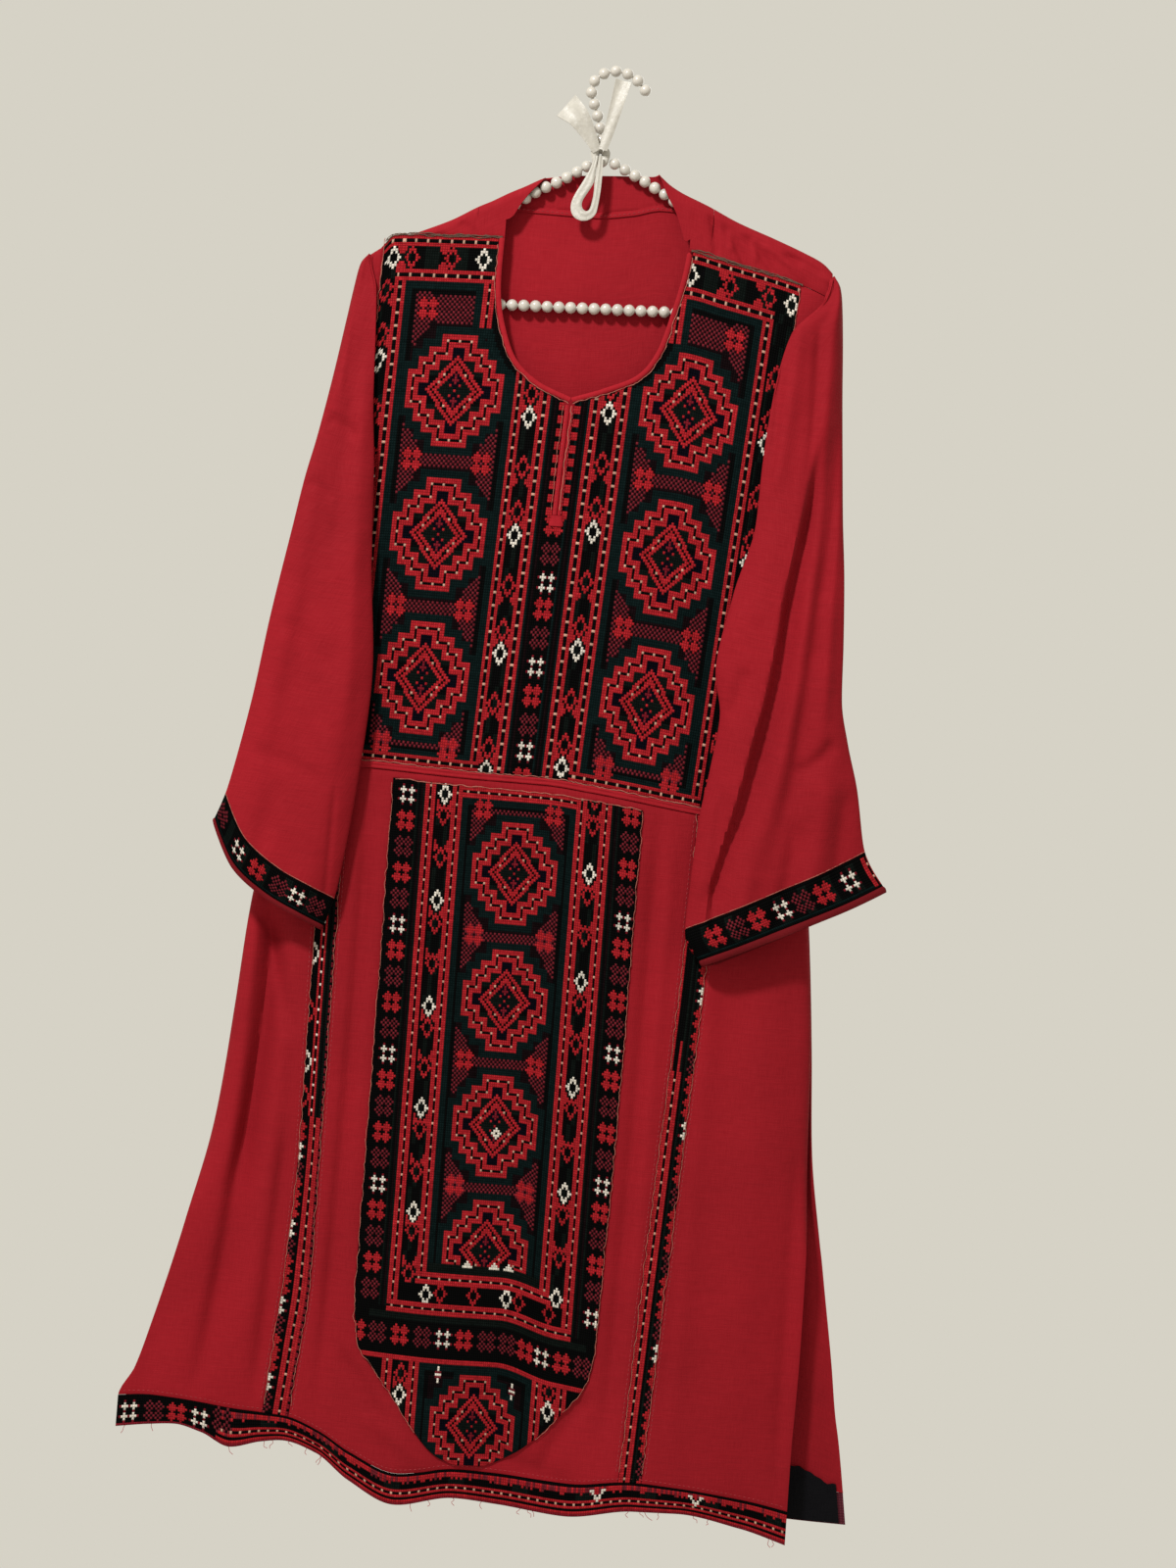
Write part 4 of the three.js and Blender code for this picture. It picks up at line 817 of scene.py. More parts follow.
def lay_out(left, right, top, bottom, across, down, guess=(-160, -1100), passes=14):
    """x and z over a panel between two edges of x over z and two of z over x. They are
    found in several passes from a guess of z along the top and the bottom."""
    s, t = np.meshgrid(across, down)
    z = blend(*guess, t)
    for _ in range(passes):
        x = blend(left(z), right(z), s)
        z = blend(top(x), bottom(x), t)
    return x, z


def seam_dip(x, z, depth=0.7):
    """How far the cloth sinks along the edges of a panel, where it is sewn."""
    reach = np.minimum.reduce([np.abs(x - x[:, :1]), np.abs(x - x[:, -1:]),
                               np.abs(z - z[:1]), np.abs(z - z[-1:])])
    return depth * np.exp(-(reach / 1.5) ** 2)


def cloth_grid(across, down):
    """Places on the cloth in metres, from lengths over it in millimetres."""
    return np.stack(np.broadcast_arrays(across * MM, down * MM), -1)


def front_wall(name, x, z, top, foot=0.0, grid=None, **options):
    """A piece of the front between two heights over the layer's inner face."""
    grid = cloth_grid(x, z) if grid is None else grid
    return cloth_wall(name, on_front(x, z, top), on_front(x, z, foot), grid, **options)


def front_piece(name, x, z, thickness, dip=0.7, **options):
    return front_wall(name, x, z, thickness - seam_dip(x, z, dip), **options)


def by_chart(chart, seed):
    """The grid of a piece worked after a chart, counted in stitches, and their colours."""
    height, width = chart.cells.shape
    grid = np.stack(np.meshgrid(np.arange(width + 1.0), np.arange(height + 1.0)), -1)
    return {"grid": grid, "threads": stitched(chart, seed)}


def offset_line(line, distance):
    ahead = unit(np.gradient(line, axis=0))
    return line + distance * np.stack([ahead[:, 1], -ahead[:, 0]], -1)


def neck_line(points, count=60):
    flat = np.array([(x, 0, z) for x, z in points], float)
    return along_curve(flat, count=count)[0][:, [0, 2]]


def slit_middle(z):
    return -18 + (z - SLIT_TOP) * 4 / (SLIT_TOP - SLIT_BOTTOM)


def opening(z):
    """The two edges of the yoke round the neck and the slit, and where they lie open."""
    left = offset_line(neck_line(neck_left), NECK_BINDING + 0.3)[::-1]
    right = offset_line(neck_line(neck_right), NECK_BINDING + 0.3)
    west = np.interp(z, left[:, 1], left[:, 0])
    east = np.interp(z, right[:, 1], right[:, 0])
    below = z < right[0, 1]
    slit_west, slit_east = slit_middle(z) - 4.4, slit_middle(z) + 3.6
    west = np.where(below | (slit_west < west), slit_west, west)
    east = np.where(below | (slit_east > east), slit_east, east)
    return west, east, z > SLIT_BOTTOM - 10


def clamp_opening(x, z):
    west, east, in_slit = opening(z)
    inside = in_slit & (x > west) & (x < east)
    moved = np.where(inside, np.where(x < slit_middle(np.minimum(z, SLIT_TOP)), west, east), x)
    hidden = inside[:-1, :-1] & inside[:-1, 1:] & inside[1:, :-1] & inside[1:, 1:]
    return moved, ~hidden


# The yoke's chart

YOKE_AXIS = rows("z axis scale", (-271.5, -17.2, 1.019), (-391.7, -23.75, 0.9975),
                 (-509, -29.15, 0.9805))
# stitches down and across the yoke, and across one field of medallions
YOKE_ROWS, YOKE_COLUMNS, FIELD = 205, 179, 51
# the first row of the fields, and of the strips between them below the neck
FIELD_TOP, MIDDLE_TOP = 19, 44
YOKE_LEFT = -162.5
BANDS = ((10, 5), (68, 2), (124, 2), (177, 2))


def yoke_x(p, z):
    """Where a place counted across the yoke falls: it leans and narrows downwards."""
    fits = [np.polyfit(YOKE_AXIS["z"], YOKE_AXIS[k], 1) for k in ("axis", "scale")]
    return np.polyval(fits[0], z) + p * np.polyval(fits[1], z)


def track_widths(total):
    return [total * w for w in (0.165, 0.165, 0.34, 0.165, 0.165)]


def yoke_columns():
    runs = [[11.2 / 6] * 6, track_widths(8.8), [95.9 / FIELD] * FIELD, track_widths(7.6),
            [13 / 7] * 7, track_widths(9), [1.9] * 4, [1.75] * 9, [1.75] * 5, track_widths(9),
            [13.4 / 7] * 7, track_widths(8.9), [96.4 / FIELD] * FIELD, track_widths(8.4),
            [1.9] * 9]
    return YOKE_LEFT + np.concatenate([[0], np.cumsum(np.concatenate(runs))])


def yoke_rows():
    runs = [track_widths(9), [2.1] * 9, track_widths(9.5), [2.13] * 181, track_widths(8)]
    down = np.concatenate([[0], np.cumsum(np.concatenate(runs))])
    return down / down[-1]


def yoke_chart(x, z):
    """The yoke's chart; x and z are the middles of the stitches."""
    chart = Chart(YOKE_ROWS, YOKE_COLUMNS)
    first, second, left, right, foot = 0, 14, 11, 114, 200
    for start in (left, right):
        field(chart, FIELD_TOP, start, foot - FIELD_TOP, FIELD, (41, 96, 151), BANDS)
    # the corner beside the neck, where the fields are cut off
    chart.block(FIELD_TOP, 37, left + 30, left + 33, GREEN)
    chart.block(FIELD_TOP, 38, left + 38, left + FIELD, BLACK)
    chart.block(FIELD_TOP, 37, right + 18, right + 21, GREEN)
    chart.block(FIELD_TOP, 38, right, right + 13, BLACK)
    west, east, in_slit = opening(z)
    near_neck = np.minimum(np.abs(x - west), np.abs(x - east))
    row, column = np.ogrid[:YOKE_ROWS, :YOKE_COLUMNS]
    free = (row > 33) & (row < 64) & (z < -200) & in_slit
    for start in (left, right):
        free &= ~in_steps(column - start - 25, row - 60, 1)
    chart.cells[free & (near_neck < 13)] = GREEN
    chart.cells[free & (near_neck < 6)] = BLACK
    for start in (left + 33, right + 13):
        chart.track_down(start, second, 36, 2)
    for start, phase in ((6, 2), (62, 1), (74, 3), (97, 0), (109, 2), (165, 1)):
        chart.track_down(start, second if start in (6, 165) else MIDDLE_TOP, YOKE_ROWS, phase)
    # between the middle tracks
    for start, width in ((79, 4), (92, 5)):
        chart.lines_down(start, (GREEN, BLACK, MAROON, BLACK, GREEN)[:width], MIDDLE_TOP, YOKE_ROWS)
    chart.block(MIDDLE_TOP, YOKE_ROWS, 83, 92, BLACK)
    for k, thread in enumerate((RED, DIM, WHITE) * 3 + (RED,)):
        chart.stamp(119 + 10.75 * (k - 1), 87, rosette(thread))
    for low in range(57, 105, 5):
        chart.block(low, low + 3, 83, 86, RED)
        chart.block(low + 1, low + 4, 90, 93, RED)
    for start, white in ((67, 49.5), (102, 45.5)):
        whites = [FIELD_TOP + white + 44.8 * k for k in range(4)]
        reds = [w + d for w in [whites[0] - 44.8] + whites for d in (18.8, 35.4)]
        diamonds_down(chart, start, MIDDLE_TOP, YOKE_ROWS, whites, reds)
    for start, whites, reds in ((-1, (29, 75, 121, 167), (2, 18.8)),
                                (171, (45, 91, 137), (18.5, 36))):
        diamonds_down(chart, start, second, YOKE_ROWS, [FIELD_TOP + row for row in whites],
                      [FIELD_TOP + row + 46 * k for k in range(4) for row in reds])
    # the two tracks along the top and the row of diamonds between them
    chart.block(first, second, 0, YOKE_COLUMNS, BLACK)
    for column in range(YOKE_COLUMNS):
        if (column // 6) % 2:
            chart.block(5, second, column, column + 1, LEAF)
    chart.track_across(first, 0, YOKE_COLUMNS, 3)
    chart.track_across(second, 6, left + 38, 1)
    chart.track_across(second, right + 13, 170, 1)
    for column, thread in ((4, WHITE), (12, RED), (29, RED), (42, WHITE), (132, WHITE),
                           (149, RED), (166, RED), (176, WHITE)):
        if thread == RED:
            chart.stamp(12, column - 4, motif(3, 4, lambda u, v: [(abs(u) < 2 + v * 0.7, RED)]))
            chart.stamp(6, column - 4, motif(3, 4, lambda u, v: [(abs(u) < 2 - v * 0.7, RED)]))
        chart.stamp(9, column, diamond(thread))
    chart.track_across(foot, 6, 67, 2)
    chart.track_across(foot, 109, 170, 2)
    return chart


# The pocket panel's chart

POCKET_STITCH = 1.7
POCKET_ROWS, POCKET_COLUMNS = 292, 121
POCKET_LEFT = -139
# how far below the yoke the panel starts, and its first row after the foot's borders
POCKET_DROP = 12
TONGUE_TOP = 244


def row_height(x):
    return 1.93 * (1 + 0.019 * smooth(-20, 30, x))


def pocket_z(x, row):
    return yoke_bottom(x) - POCKET_DROP - row_height(x) * row


def pocket_row(x, z):
    return (yoke_bottom(x) - POCKET_DROP - z) / row_height(x)


def pocket_column(x):
    return (x - POCKET_LEFT) / POCKET_STITCH


def pocket_chart():
    chart = Chart(POCKET_ROWS, POCKET_COLUMNS)
    field(chart, 5, 34, 201, 55, [pocket_row(-34, z) - 5 for z in (-660, -764, -866, -968)],
          [(pocket_row(-34, z) - 5, 2) for z in (-609, -712, -815, -917)])
    chart.track_across(0, 29, 94, 2)
    for left, place, whites, reds in (
            (22, -96, (-599, -686.5, -773.5, -856.5, -941),
             (-617, -651, -705, -739, -790, -823, -874, -907, -957, -990)),
            (94, 26, (-656, -743, -830, -917, -1003),
             (-594, -616, -673.5, -707, -761, -794, -848, -883.5, -935, -970, -1020))):
        diamonds_down(chart, left, 0, 222, [pocket_row(place, z) for z in whites],
                      [pocket_row(place, z) for z in reds], -4.5)
    for left, top, bottom, phase in ((16, 0, 219, 1), (29, 0, 206, 3), (89, 0, 206, 0), (101, 0, 219, 2)):
        chart.track_down(left, top, bottom, phase)
    for left in (12, 106):
        chart.lines_down(left, (LEAF, BLACK, MAROON, LEAF), 0, 222)
    chart.block(0, 222, 0, 12, BLACK)
    chart.block(0, 222, 110, POCKET_COLUMNS, BLACK)
    order = (WHITE, RED, DIM, RED, DIM)
    for k in range(20):
        chart.stamp(pocket_row(-127, -601) + 11.03 * k, 7, rosette(order[k % 5]))
        chart.stamp(pocket_row(57, -605) + 11.03 * k, 115, rosette(order[(k + 1) % 5]))
    # round the foot: an inner track, a row of diamonds, an outer track, a row of rosettes
    chart.block(211, 219, 21, 101, BLACK)
    for place, z, thread in ((-82, -1006, WHITE), (-70, -1006, RED), (-42, -1006, RED),
                             (-15, -1006, WHITE), (-4, -1008, RED), (20, -1016, RED)):
        chart.stamp(pocket_row(place, z), pocket_column(place), diamond(thread))
    chart.track_across(219, 16, 106, 2)
    chart.block(224, 243, 0, POCKET_COLUMNS, BLACK)
    chart.block(224, 227, 8, 114, LEAF)
    for place, thread in ((-135, RED), (-118, DIM), (-100, RED), (-82, DIM), (-65, WHITE), (-47, RED),
                          (-29, DIM), (-11, DIM), (3, RED), (17, WHITE), (34, RED), (51, DIM)):
        chart.stamp(233, pocket_column(place), rosette(thread))
    # the tongue goes on with the pattern of the panel
    field(chart, TONGUE_TOP, 34, POCKET_ROWS - TONGUE_TOP, 55, (25,), ())
    for left, phase in ((16, 0), (29, 2), (89, 1), (101, 3)):
        chart.track_down(left, TONGUE_TOP, POCKET_ROWS, phase)
    chart.block(242, TONGUE_TOP, 0, POCKET_COLUMNS, RED)
    chart.block(202, 206, 34, 89, LEAF)
    for column in (53, 66, 73):
        chart.stamp(201, column, motif(3, 5, lambda u, v: [(abs(u) < v + 1.6, WHITE)]))
    chart.track_across(206, 29, 94, 1)
    chart.stamp(pocket_row(-34, -873), 62, motif(5, 5, lambda u, v: [
        (abs(u) + abs(v) <= 2, WHITE), (abs(u) + abs(v) < 1, BLACK)]))
    for left, place, white, red in ((22, -98, -1090, -1071), (94, 26, -1095, -1080)):
        diamonds_down(chart, left, TONGUE_TOP, POCKET_ROWS, [pocket_row(place, white)],
                      [pocket_row(place, red)])
    for row, column in ((248, 43), (252, 79)):
        chart.stamp(row, column, motif(7, 3, lambda u, v: [
            (abs(u) + abs(v) / 2 < 1.6, WHITE), (abs(v) == 1, PINK)]))
    return chart


# Sizes and colours

def size_property(name, description, default, low, high):
    return FloatProperty(name=name, description=description, default=default, min=low,
                         max=high, unit="LENGTH")


class KurtaSizes(bpy.types.PropertyGroup):
    """Sizes of the cloth and the hanger."""
    bead: size_property("Bead", "Radius of a bead of the hanger", 0.005, 0.002, 0.006)
    pitch: size_property("Bead pitch", "Distance between beads on the wire", 0.0096, 0.006, 0.02)
    weave: size_property("Weave", "Distance between threads of the red cloth", 0.0008, 0.0002, 0.003)


def colour_property(name, description, rgb):
    return FloatVectorProperty(name=name, description=description, subtype="COLOR", size=3,
                               min=0, max=1, default=tuple(float(v) for v in linear(rgb)))


class KurtaColours(bpy.types.PropertyGroup):
    """Colours of the cloth, the hanger and the room."""
    cloth: colour_property("Red cloth", "The plain cloth of the kurta", (131, 16, 26))
    binding: colour_property("Binding", "The bindings and pipings", (142, 20, 30))
    facing: colour_property("Facing", "The black facing inside the hem", (5, 4, 8))
    beads: colour_property("Beads", "The pearl beads of the hanger", (186, 180, 170))
    ribbon: colour_property("Ribbon", "The satin ribbon", (186, 181, 170))
    frayed: colour_property("Frayed thread", "Loose threads along the cut edges", (150, 84, 70))
    room: colour_property("Room", "The pale room behind", (214, 210, 198))
    floor: colour_property("Floor", "The pale floor", (206, 203, 196))


def red_cloth(context):
    colour = context.scene.kurta_colours.cloth
    return plain_cloth("Red plain-weave cloth", "red_cloth", colour, context.scene.kurta_sizes.weave)


def red_binding(context):
    return plain_cloth("Red binding cloth", "red_binding", context.scene.kurta_colours.binding,
                       0.0006, 0.1)


# Operators

class KURTA_OT_back(bpy.types.Operator):
    """Build the back panel with its hem band and black facing"""
    bl_idname = "kurta.back"
    bl_label = "Back"

    def execute(self, context):
        share = np.linspace(1, 0, 128)[None, :]
        column = blend(*SHOULDER_ENDS, share)
        under_band = (column > -105) & (column < 87)
        start = np.where(under_band, np.maximum(reach_to(column, band_seam_behind(column)), 0.5), 0.0)
        low_x = blend(back_left_edge(NEAR_HEM), back_right_edge(NEAR_HEM), share)
        low = hem_back(low_x) + HEM_BAND_BACK + 0.3
        end = ridge(column) - SHOULDER_RADIUS * (1 - math.pi / 2) - start - low
        rolled = np.linspace(0, 14, 8)[:, None] + 0 * share
        hanging = blend(18.0, end, spread(960, 5.2, (1.5, 3.5))[1:, None])
        run = np.concatenate([rolled, hanging])
        over = over_shoulder(column, -(start + run))
        z = over[..., 2]
        between_edges = blend(back_left_edge(z), back_right_edge(z), share)
        x = blend(column + 0 * z, between_edges, smooth(4, 60, run))
        hangs = smooth(8, 48, run)
        lift = CLOTH - seam_dip(x, z, 0.6)
        y = blend(over[..., 1], on_back(x, z, lift)[..., 1], hangs)
        outer = np.stack([x, y, z], -1)
        mesh = cloth_wall("back_panel", outer, inner_skin(outer, CLOTH), cloth_grid(-x, -run))
        back = add_piece(mesh, red_cloth(context))
        near_hem = {"guess": (NEAR_HEM, NEAR_HEM), "passes": 5}
        x, z = lay_out(back_left_edge, back_right_edge, lambda v: hem_back(v) + HEM_BAND_BACK,
                       hem_back, np.linspace(1, 0, 301), np.linspace(0, 1, 13), **near_hem)
        mesh = cloth_wall("hem_band_back", on_back(x, z, WORKED), on_back(x, z, 0),
                          **by_chart(hem_chart(300), 5))
        band = add_piece(mesh, worked_cloth())

        def facing_top(v):
            uneven = np.sin(v * 0.5) * np.cos(v * 0.17)
            return hem_back(v) + HEM_FACING - 11 * smooth(236, 264, v) + uneven
        x, z = lay_out(back_left_edge, back_right_edge, facing_top, lambda v: hem_back(v) + 1,
                       np.linspace(0, 0.991, 240), spread(43, 5), **near_hem)
        inner = on_back(x, z, 0.15 * rumple(x, z, 34, 8) - 1.7)
        mesh = cloth_wall("hem_facing_back", inner, on_back(x, z, -0.6), cloth_grid(x, z))
        facing = add_piece(mesh, plain_cloth("Black facing cloth", "black_facing",
                                             context.scene.kurta_colours.facing, 0.0007, 0.0))
        return {"FINISHED"}


band_seam_behind = profile(
    (-105, -122), (-95, -119.5), (-75, -118), (-10, -118.5), (20, -114.5), (45, -108.5),
    (70, -110), (87, -111))
band_front = profile(
    (-105, -121.6), (-98, -123.5), (-90, -126.7), (-82, -127), (-77, -124), (-72, -115),
    (-66, -106), (-60, -98.5), (-56, -93.5), (-53, -89.6), (40, -79.6), (43, -87), (47, -95.6),
    (56, -111), (62, -126), (65, -134), (70, -131.5), (78, -128), (87, -124))
band_top_behind = profile(
    (-53, -89.6), (-48, -88), (-44, -87), (-30, -85), (-10, -83.6), (20, -81.5),
    (35, -80.8), (40, -79.6))


def band_free_edge(x):
    standing = (x > -53) & (x < 40)
    return np.where(standing, -reach_to(x, band_top_behind(x)), reach_to(x, band_front(x)))


def runs(*spans):
    """Numbers over several spans, each with its start, end and count."""
    return np.concatenate([np.linspace(*span) for span in spans])


def neck_band():
    """The facing band round the back of the neck, from its seam to its free edge."""
    columns = runs((-105.3, -53, 40), (-52.6, 39.6, 52), (40, 87, 36))
    seam = -np.maximum(reach_to(columns, band_seam_behind(columns)), 0.5)
    share = spread(40, 2.0, (0.8, 2.0))[:, None]
    reach = blend(seam, band_free_edge(columns), share)
    x, past = columns + 0 * reach, reach - seam
    ripple = 0.5 * rumple(columns, reach * 2, 30, 4) * np.sin(math.pi * share)
    sewn = 0.7 * np.exp(-((past - 4.5) / 0.8) ** 2) - 1.5 * np.exp(-(past / 2.4) ** 4)
    outer = over_shoulder(x, reach, sewn)
    outer[..., 1] += ripple * np.sign(over_shoulder(x, reach)[..., 1]) * 0.6
    facing = CLOTH + 1.3 * np.exp(-(past / 3.2) ** 4) - 0.7 * np.exp(-((past - 5) / 0.8) ** 2)
    return cloth_wall("neck_band", outer, over_shoulder(x, reach, facing), cloth_grid(x, reach))


def front_shoulder(side, *spans):
    """The plain cloth from the top of the shoulder, or the neck band, to the yoke."""
    columns = runs(*spans)
    under = (columns > -105.4) & (columns < 87.1)
    top = np.where(under, np.maximum(reach_to(columns, band_front(columns)), 0.5), 0.0)
    bottom = reach_to(columns, yoke_top(columns) + 0.6)
    reach = blend(top, bottom, spread(30, 1.8, (0.8, 2.0))[:, None])
    dip = 0.5 * np.exp(-((bottom - reach) / 1.4) ** 2)
    x = columns + 0 * reach
    return cloth_wall(f"front_shoulder_{side}", over_shoulder(x, reach, dip),
                      over_shoulder(x, reach, CLOTH), cloth_grid(x, -reach))


class KURTA_OT_shoulders(bpy.types.Operator):
    """Build the neck band and the front shoulders"""
    bl_idname = "kurta.shoulders"
    bl_label = "Shoulders"

    def execute(self, context):
        band = add_piece(neck_band(), red_cloth(context))
        for side, spans, flat, area in (
                ("left", ((SHOULDER_ENDS[0], -105.5, 50), (-105.3, -82.3, 14)), (0.11, 0.03), 0.0014),
                ("right", ((69.3, 87.0, 12), (87.2, SHOULDER_ENDS[1], 58)), (0.12, 0.05), 0.0034)):
            piece = add_piece(front_shoulder(side, *spans), red_cloth(context))
        return {"FINISHED"}


# how a binding rises and falls across its width
BINDING_SHARES = np.array([0, 0.1, 0.3, 0.5, 0.7, 0.9, 1])
BINDING_RISE = WORKED + np.array([0.2, 0.55, 0.95, 1.05, 0.9, 0.45, -0.1])


class KURTA_OT_yoke(bpy.types.Operator):
    """Build the embroidered yoke and the bindings of its neck and slit"""
    bl_idname = "kurta.yoke"
    bl_label = "Yoke"

    def execute(self, context):
        p, v = np.meshgrid(yoke_columns(), yoke_rows())
        z = blend(-143, -585, v)
        for _ in range(14):
            x = yoke_x(p, z)
            z = blend(yoke_top(x), yoke_bottom(x), v)
        middle = (x[:-1, :-1] + x[1:, 1:]) / 2, (z[:-1, :-1] + z[1:, 1:]) / 2
        chart = yoke_chart(*middle)
        x, keep = clamp_opening(x, z)
        mesh = front_piece("front_yoke", x, z, WORKED, dip=0.4, keep=keep, **by_chart(chart, 1))
        yoke = add_piece(mesh, worked_cloth())
        cloth = red_binding(context)
        bindings = [add_piece(make(side), cloth) for side in ("left", "right")
                    for make in (neck_binding, slit_binding)] + [add_piece(slit_stay(), cloth)]
        return {"FINISHED"}


def neck_binding(side):
    """The folded strip round one side of the neck, from the shoulder to the slit."""
    line = neck_line(neck_left if side == "left" else neck_right, 90)
    top = np.array([[line[0 if side == "left" else -1, 0], -142.8]])
    line = line[line[:, 1] < -143]
    line = np.concatenate([top, line] if side == "left" else [line, top])
    flat = np.stack([offset_line(line, NECK_BINDING * share) for share in BINDING_SHARES], 1)
    x, z = flat[..., 0], np.minimum(flat[..., 1], -142.6)
    middle = slit_middle(np.minimum(z, SLIT_TOP))
    if side == "left":
        x, z, rise = np.minimum(x, middle - 0.15)[:, ::-1], z[:, ::-1], BINDING_RISE[::-1]
    else:
        x, z, rise = np.maximum(x, middle + 0.15)[::-1], z[::-1], BINDING_RISE
    down = np.arange(len(x))[:, None]
    return front_wall(f"neck_binding_{side}", x, z, rise + 0.12 * np.sin(down * 1.3),
                      grid=cloth_grid(NECK_BINDING * BINDING_SHARES, down * 2.5))


def slit_binding(side):
    """The folded strip down one side of the slit."""
    sign, reach, seed = (-1, 4.1, 21) if side == "left" else (1, 3.3, 22)
    shares = BINDING_SHARES[::sign]
    rise = BINDING_RISE[::sign] + (0 if side == "left" else 0.15)
    z = np.linspace(-275.4, SLIT_BOTTOM, 46)[:, None]
    x, z = np.broadcast_arrays(slit_middle(z) + sign * blend(0.15, reach, shares), z)
    return front_wall(f"slit_binding_{side}", x, z, rise + 0.25 * rumple(x, z, 16, seed))


def slit_stay():
    """The gathered bit of binding that closes the foot of the slit."""
    z = np.linspace(SLIT_BOTTOM - 0.3, SLIT_BOTTOM - 9, 8)[:, None]
    spreading = np.array([1, 0.96, 0.9, 0.9, 1.0, 1.08, 1.1, 1.02])[:, None]
    x, z = np.broadcast_arrays(slit_middle(z) + spreading * 5.2 * (2 * BINDING_SHARES - 1), z)
    return front_wall("slit_stay", x, z, WORKED + np.array([0.1, 0.8, 1.2, 0.8, 1.3, 0.9, 0.1]))


class KURTA_OT_sides(bpy.types.Operator):
    """Build the plain front sides beside the yoke and the piping below it"""
    bl_idname = "kurta.sides"
    bl_label = "Front sides and waist piping"

    def execute(self, context):
        cloth = red_cloth(context)
        edge = yoke_columns()
        for side, left, right, flat, area in (
                ("left", lambda z: left_edge(z) + 0.2, lambda z: yoke_x(edge[0], z) - 0.3,
                 (0.03, 0.44), 0.0049),
                ("right", lambda z: yoke_x(edge[-1], z) + 0.3, lambda z: right_edge(z) - 0.2,
                 (0.062, 0.45), 0.0185)):
            x, z = lay_out(left, right, yoke_top, yoke_bottom, spread(34, 2.6, (0.8, 2.2)),
                           spread(430, 4.5))
            piece = add_piece(front_piece(f"front_side_{side}", x, z, CLOTH), cloth)
        swell = np.array([0.0, 0.7, 1.05, 0.6, 0.35, 0.75, 0.8, 0.0])[:, None]
        x, z = lay_out(left_edge, right_edge, lambda v: yoke_bottom(v) - 0.3,
                       lambda v: yoke_bottom(v) - 0.3 - WAIST_PIPING, spread(420, 3.4),
                       np.linspace(0, 1, len(swell)))
        pucker = 0.15 * np.sin(x / 4.2) * swell
        add_piece(front_wall("waist_piping", x, z, CLOTH + swell + pucker), red_binding(context))
        return {"FINISHED"}


class KURTA_OT_skirt(bpy.types.Operator):
    """Build the panels of the skirt, the strips let into it and its hem band"""
    bl_idname = "kurta.skirt"
    bl_label = "Skirt"

    def execute(self, context):
        cloth, worked = red_cloth(context), worked_cloth()

        def top(x):
            return yoke_bottom(x) - 0.6 - WAIST_PIPING

        def bottom(x):
            return hem_top(x) + 0.3

        def beside(name, gap):
            return lambda z: strip_edge[name](z) + gap
        for name, left, right, width, widest, area in (
                ("skirt_side_left", left_edge, beside("left_outer", -0.15), 90, 0.12, 0.038),
                ("skirt_centre", beside("left_inner", 0.15), beside("right_inner", -0.15), 280, 0.29, 0.158),
                ("skirt_side_right", beside("right_outer", 0.15), right_edge, 100, 0.122, 0.056)):
            x, z = lay_out(left, right, top, bottom, spread(width, 3.2), spread(540, 4.6))
            piece = add_piece(front_piece(name, x, z, CLOTH), cloth)
            pieces = [bpy.data.objects["waist_piping_made"]] if name == "skirt_centre" else []
        for side, left, right in (("left", "left_outer", "left_inner"),
                                  ("right", "right_inner", "right_outer")):
            x, z = lay_out(beside(left, 0.15), beside(right, -0.15), top, bottom,
                           np.linspace(0, 1, 11), np.linspace(0, 1, 261))
            mesh = front_piece(f"strip_{side}", x, z, WORKED, dip=0.3, **by_chart(strip_chart(side), 7))
            piece = add_piece(mesh, worked)
        x, z = lay_out(left_edge, right_edge, hem_top, hem_bottom,
                       np.linspace(0, 1, 297), np.linspace(0, 1, 13))
        chart = hem_chart(296, seed=9, front=True)
        mesh = front_piece("hem_band_front", x, z, WORKED, dip=0.3, **by_chart(chart, 9))
        piece = add_piece(mesh, worked)
        return {"FINISHED"}


def strip_chart(side):
    """A narrow worked strip: a dark ribbed band, a track and half diamonds along its edge."""
    length = 260
    chart = Chart(length, 10)
    chart.lines_down(4, (LEAF, BLACK) * 3, 0, length)

    def row(z):
        return (-589 - z) / 2.06
    if side == "left":
        cut = int(row(-878))
        for z, thread in zip((-640, -700, -744, -790, -832, -860), (WHITE, RED) * 3):
            chart.stamp(row(z), 0, diamond(thread))
        chart.lines_down(3, (RED, BLACK, RED), 0, cut)
        for start in range(2, cut, 5):
            chart.block(start, start + 1, 4, 5, WHITE)
        for start in range(0, length, 3):
            chart.block(start, start + 2, 9, 10, DIM)
        chart.track_down(4, cut, length, 3)
        for k, z in enumerate(range(-890, -1120, -16)):
            chart.stamp(row(z), -2, rosette((RED, WHITE, DIM, RED)[k % 4]))
    else:
        shown = int(row(-797))
        chart.track_down(0, shown, length, 3)
        chart.block(shown - 12, shown, 3, 4, RED)
        chart.block(0, shown, 0, 1, RED)
        for k, z in enumerate(range(-606, -1130, -18)):
            chart.stamp(row(z), 11, rosette(WHITE if k in (7, 13, 23) else (RED, DIM, RED)[k % 3]))
    return chart


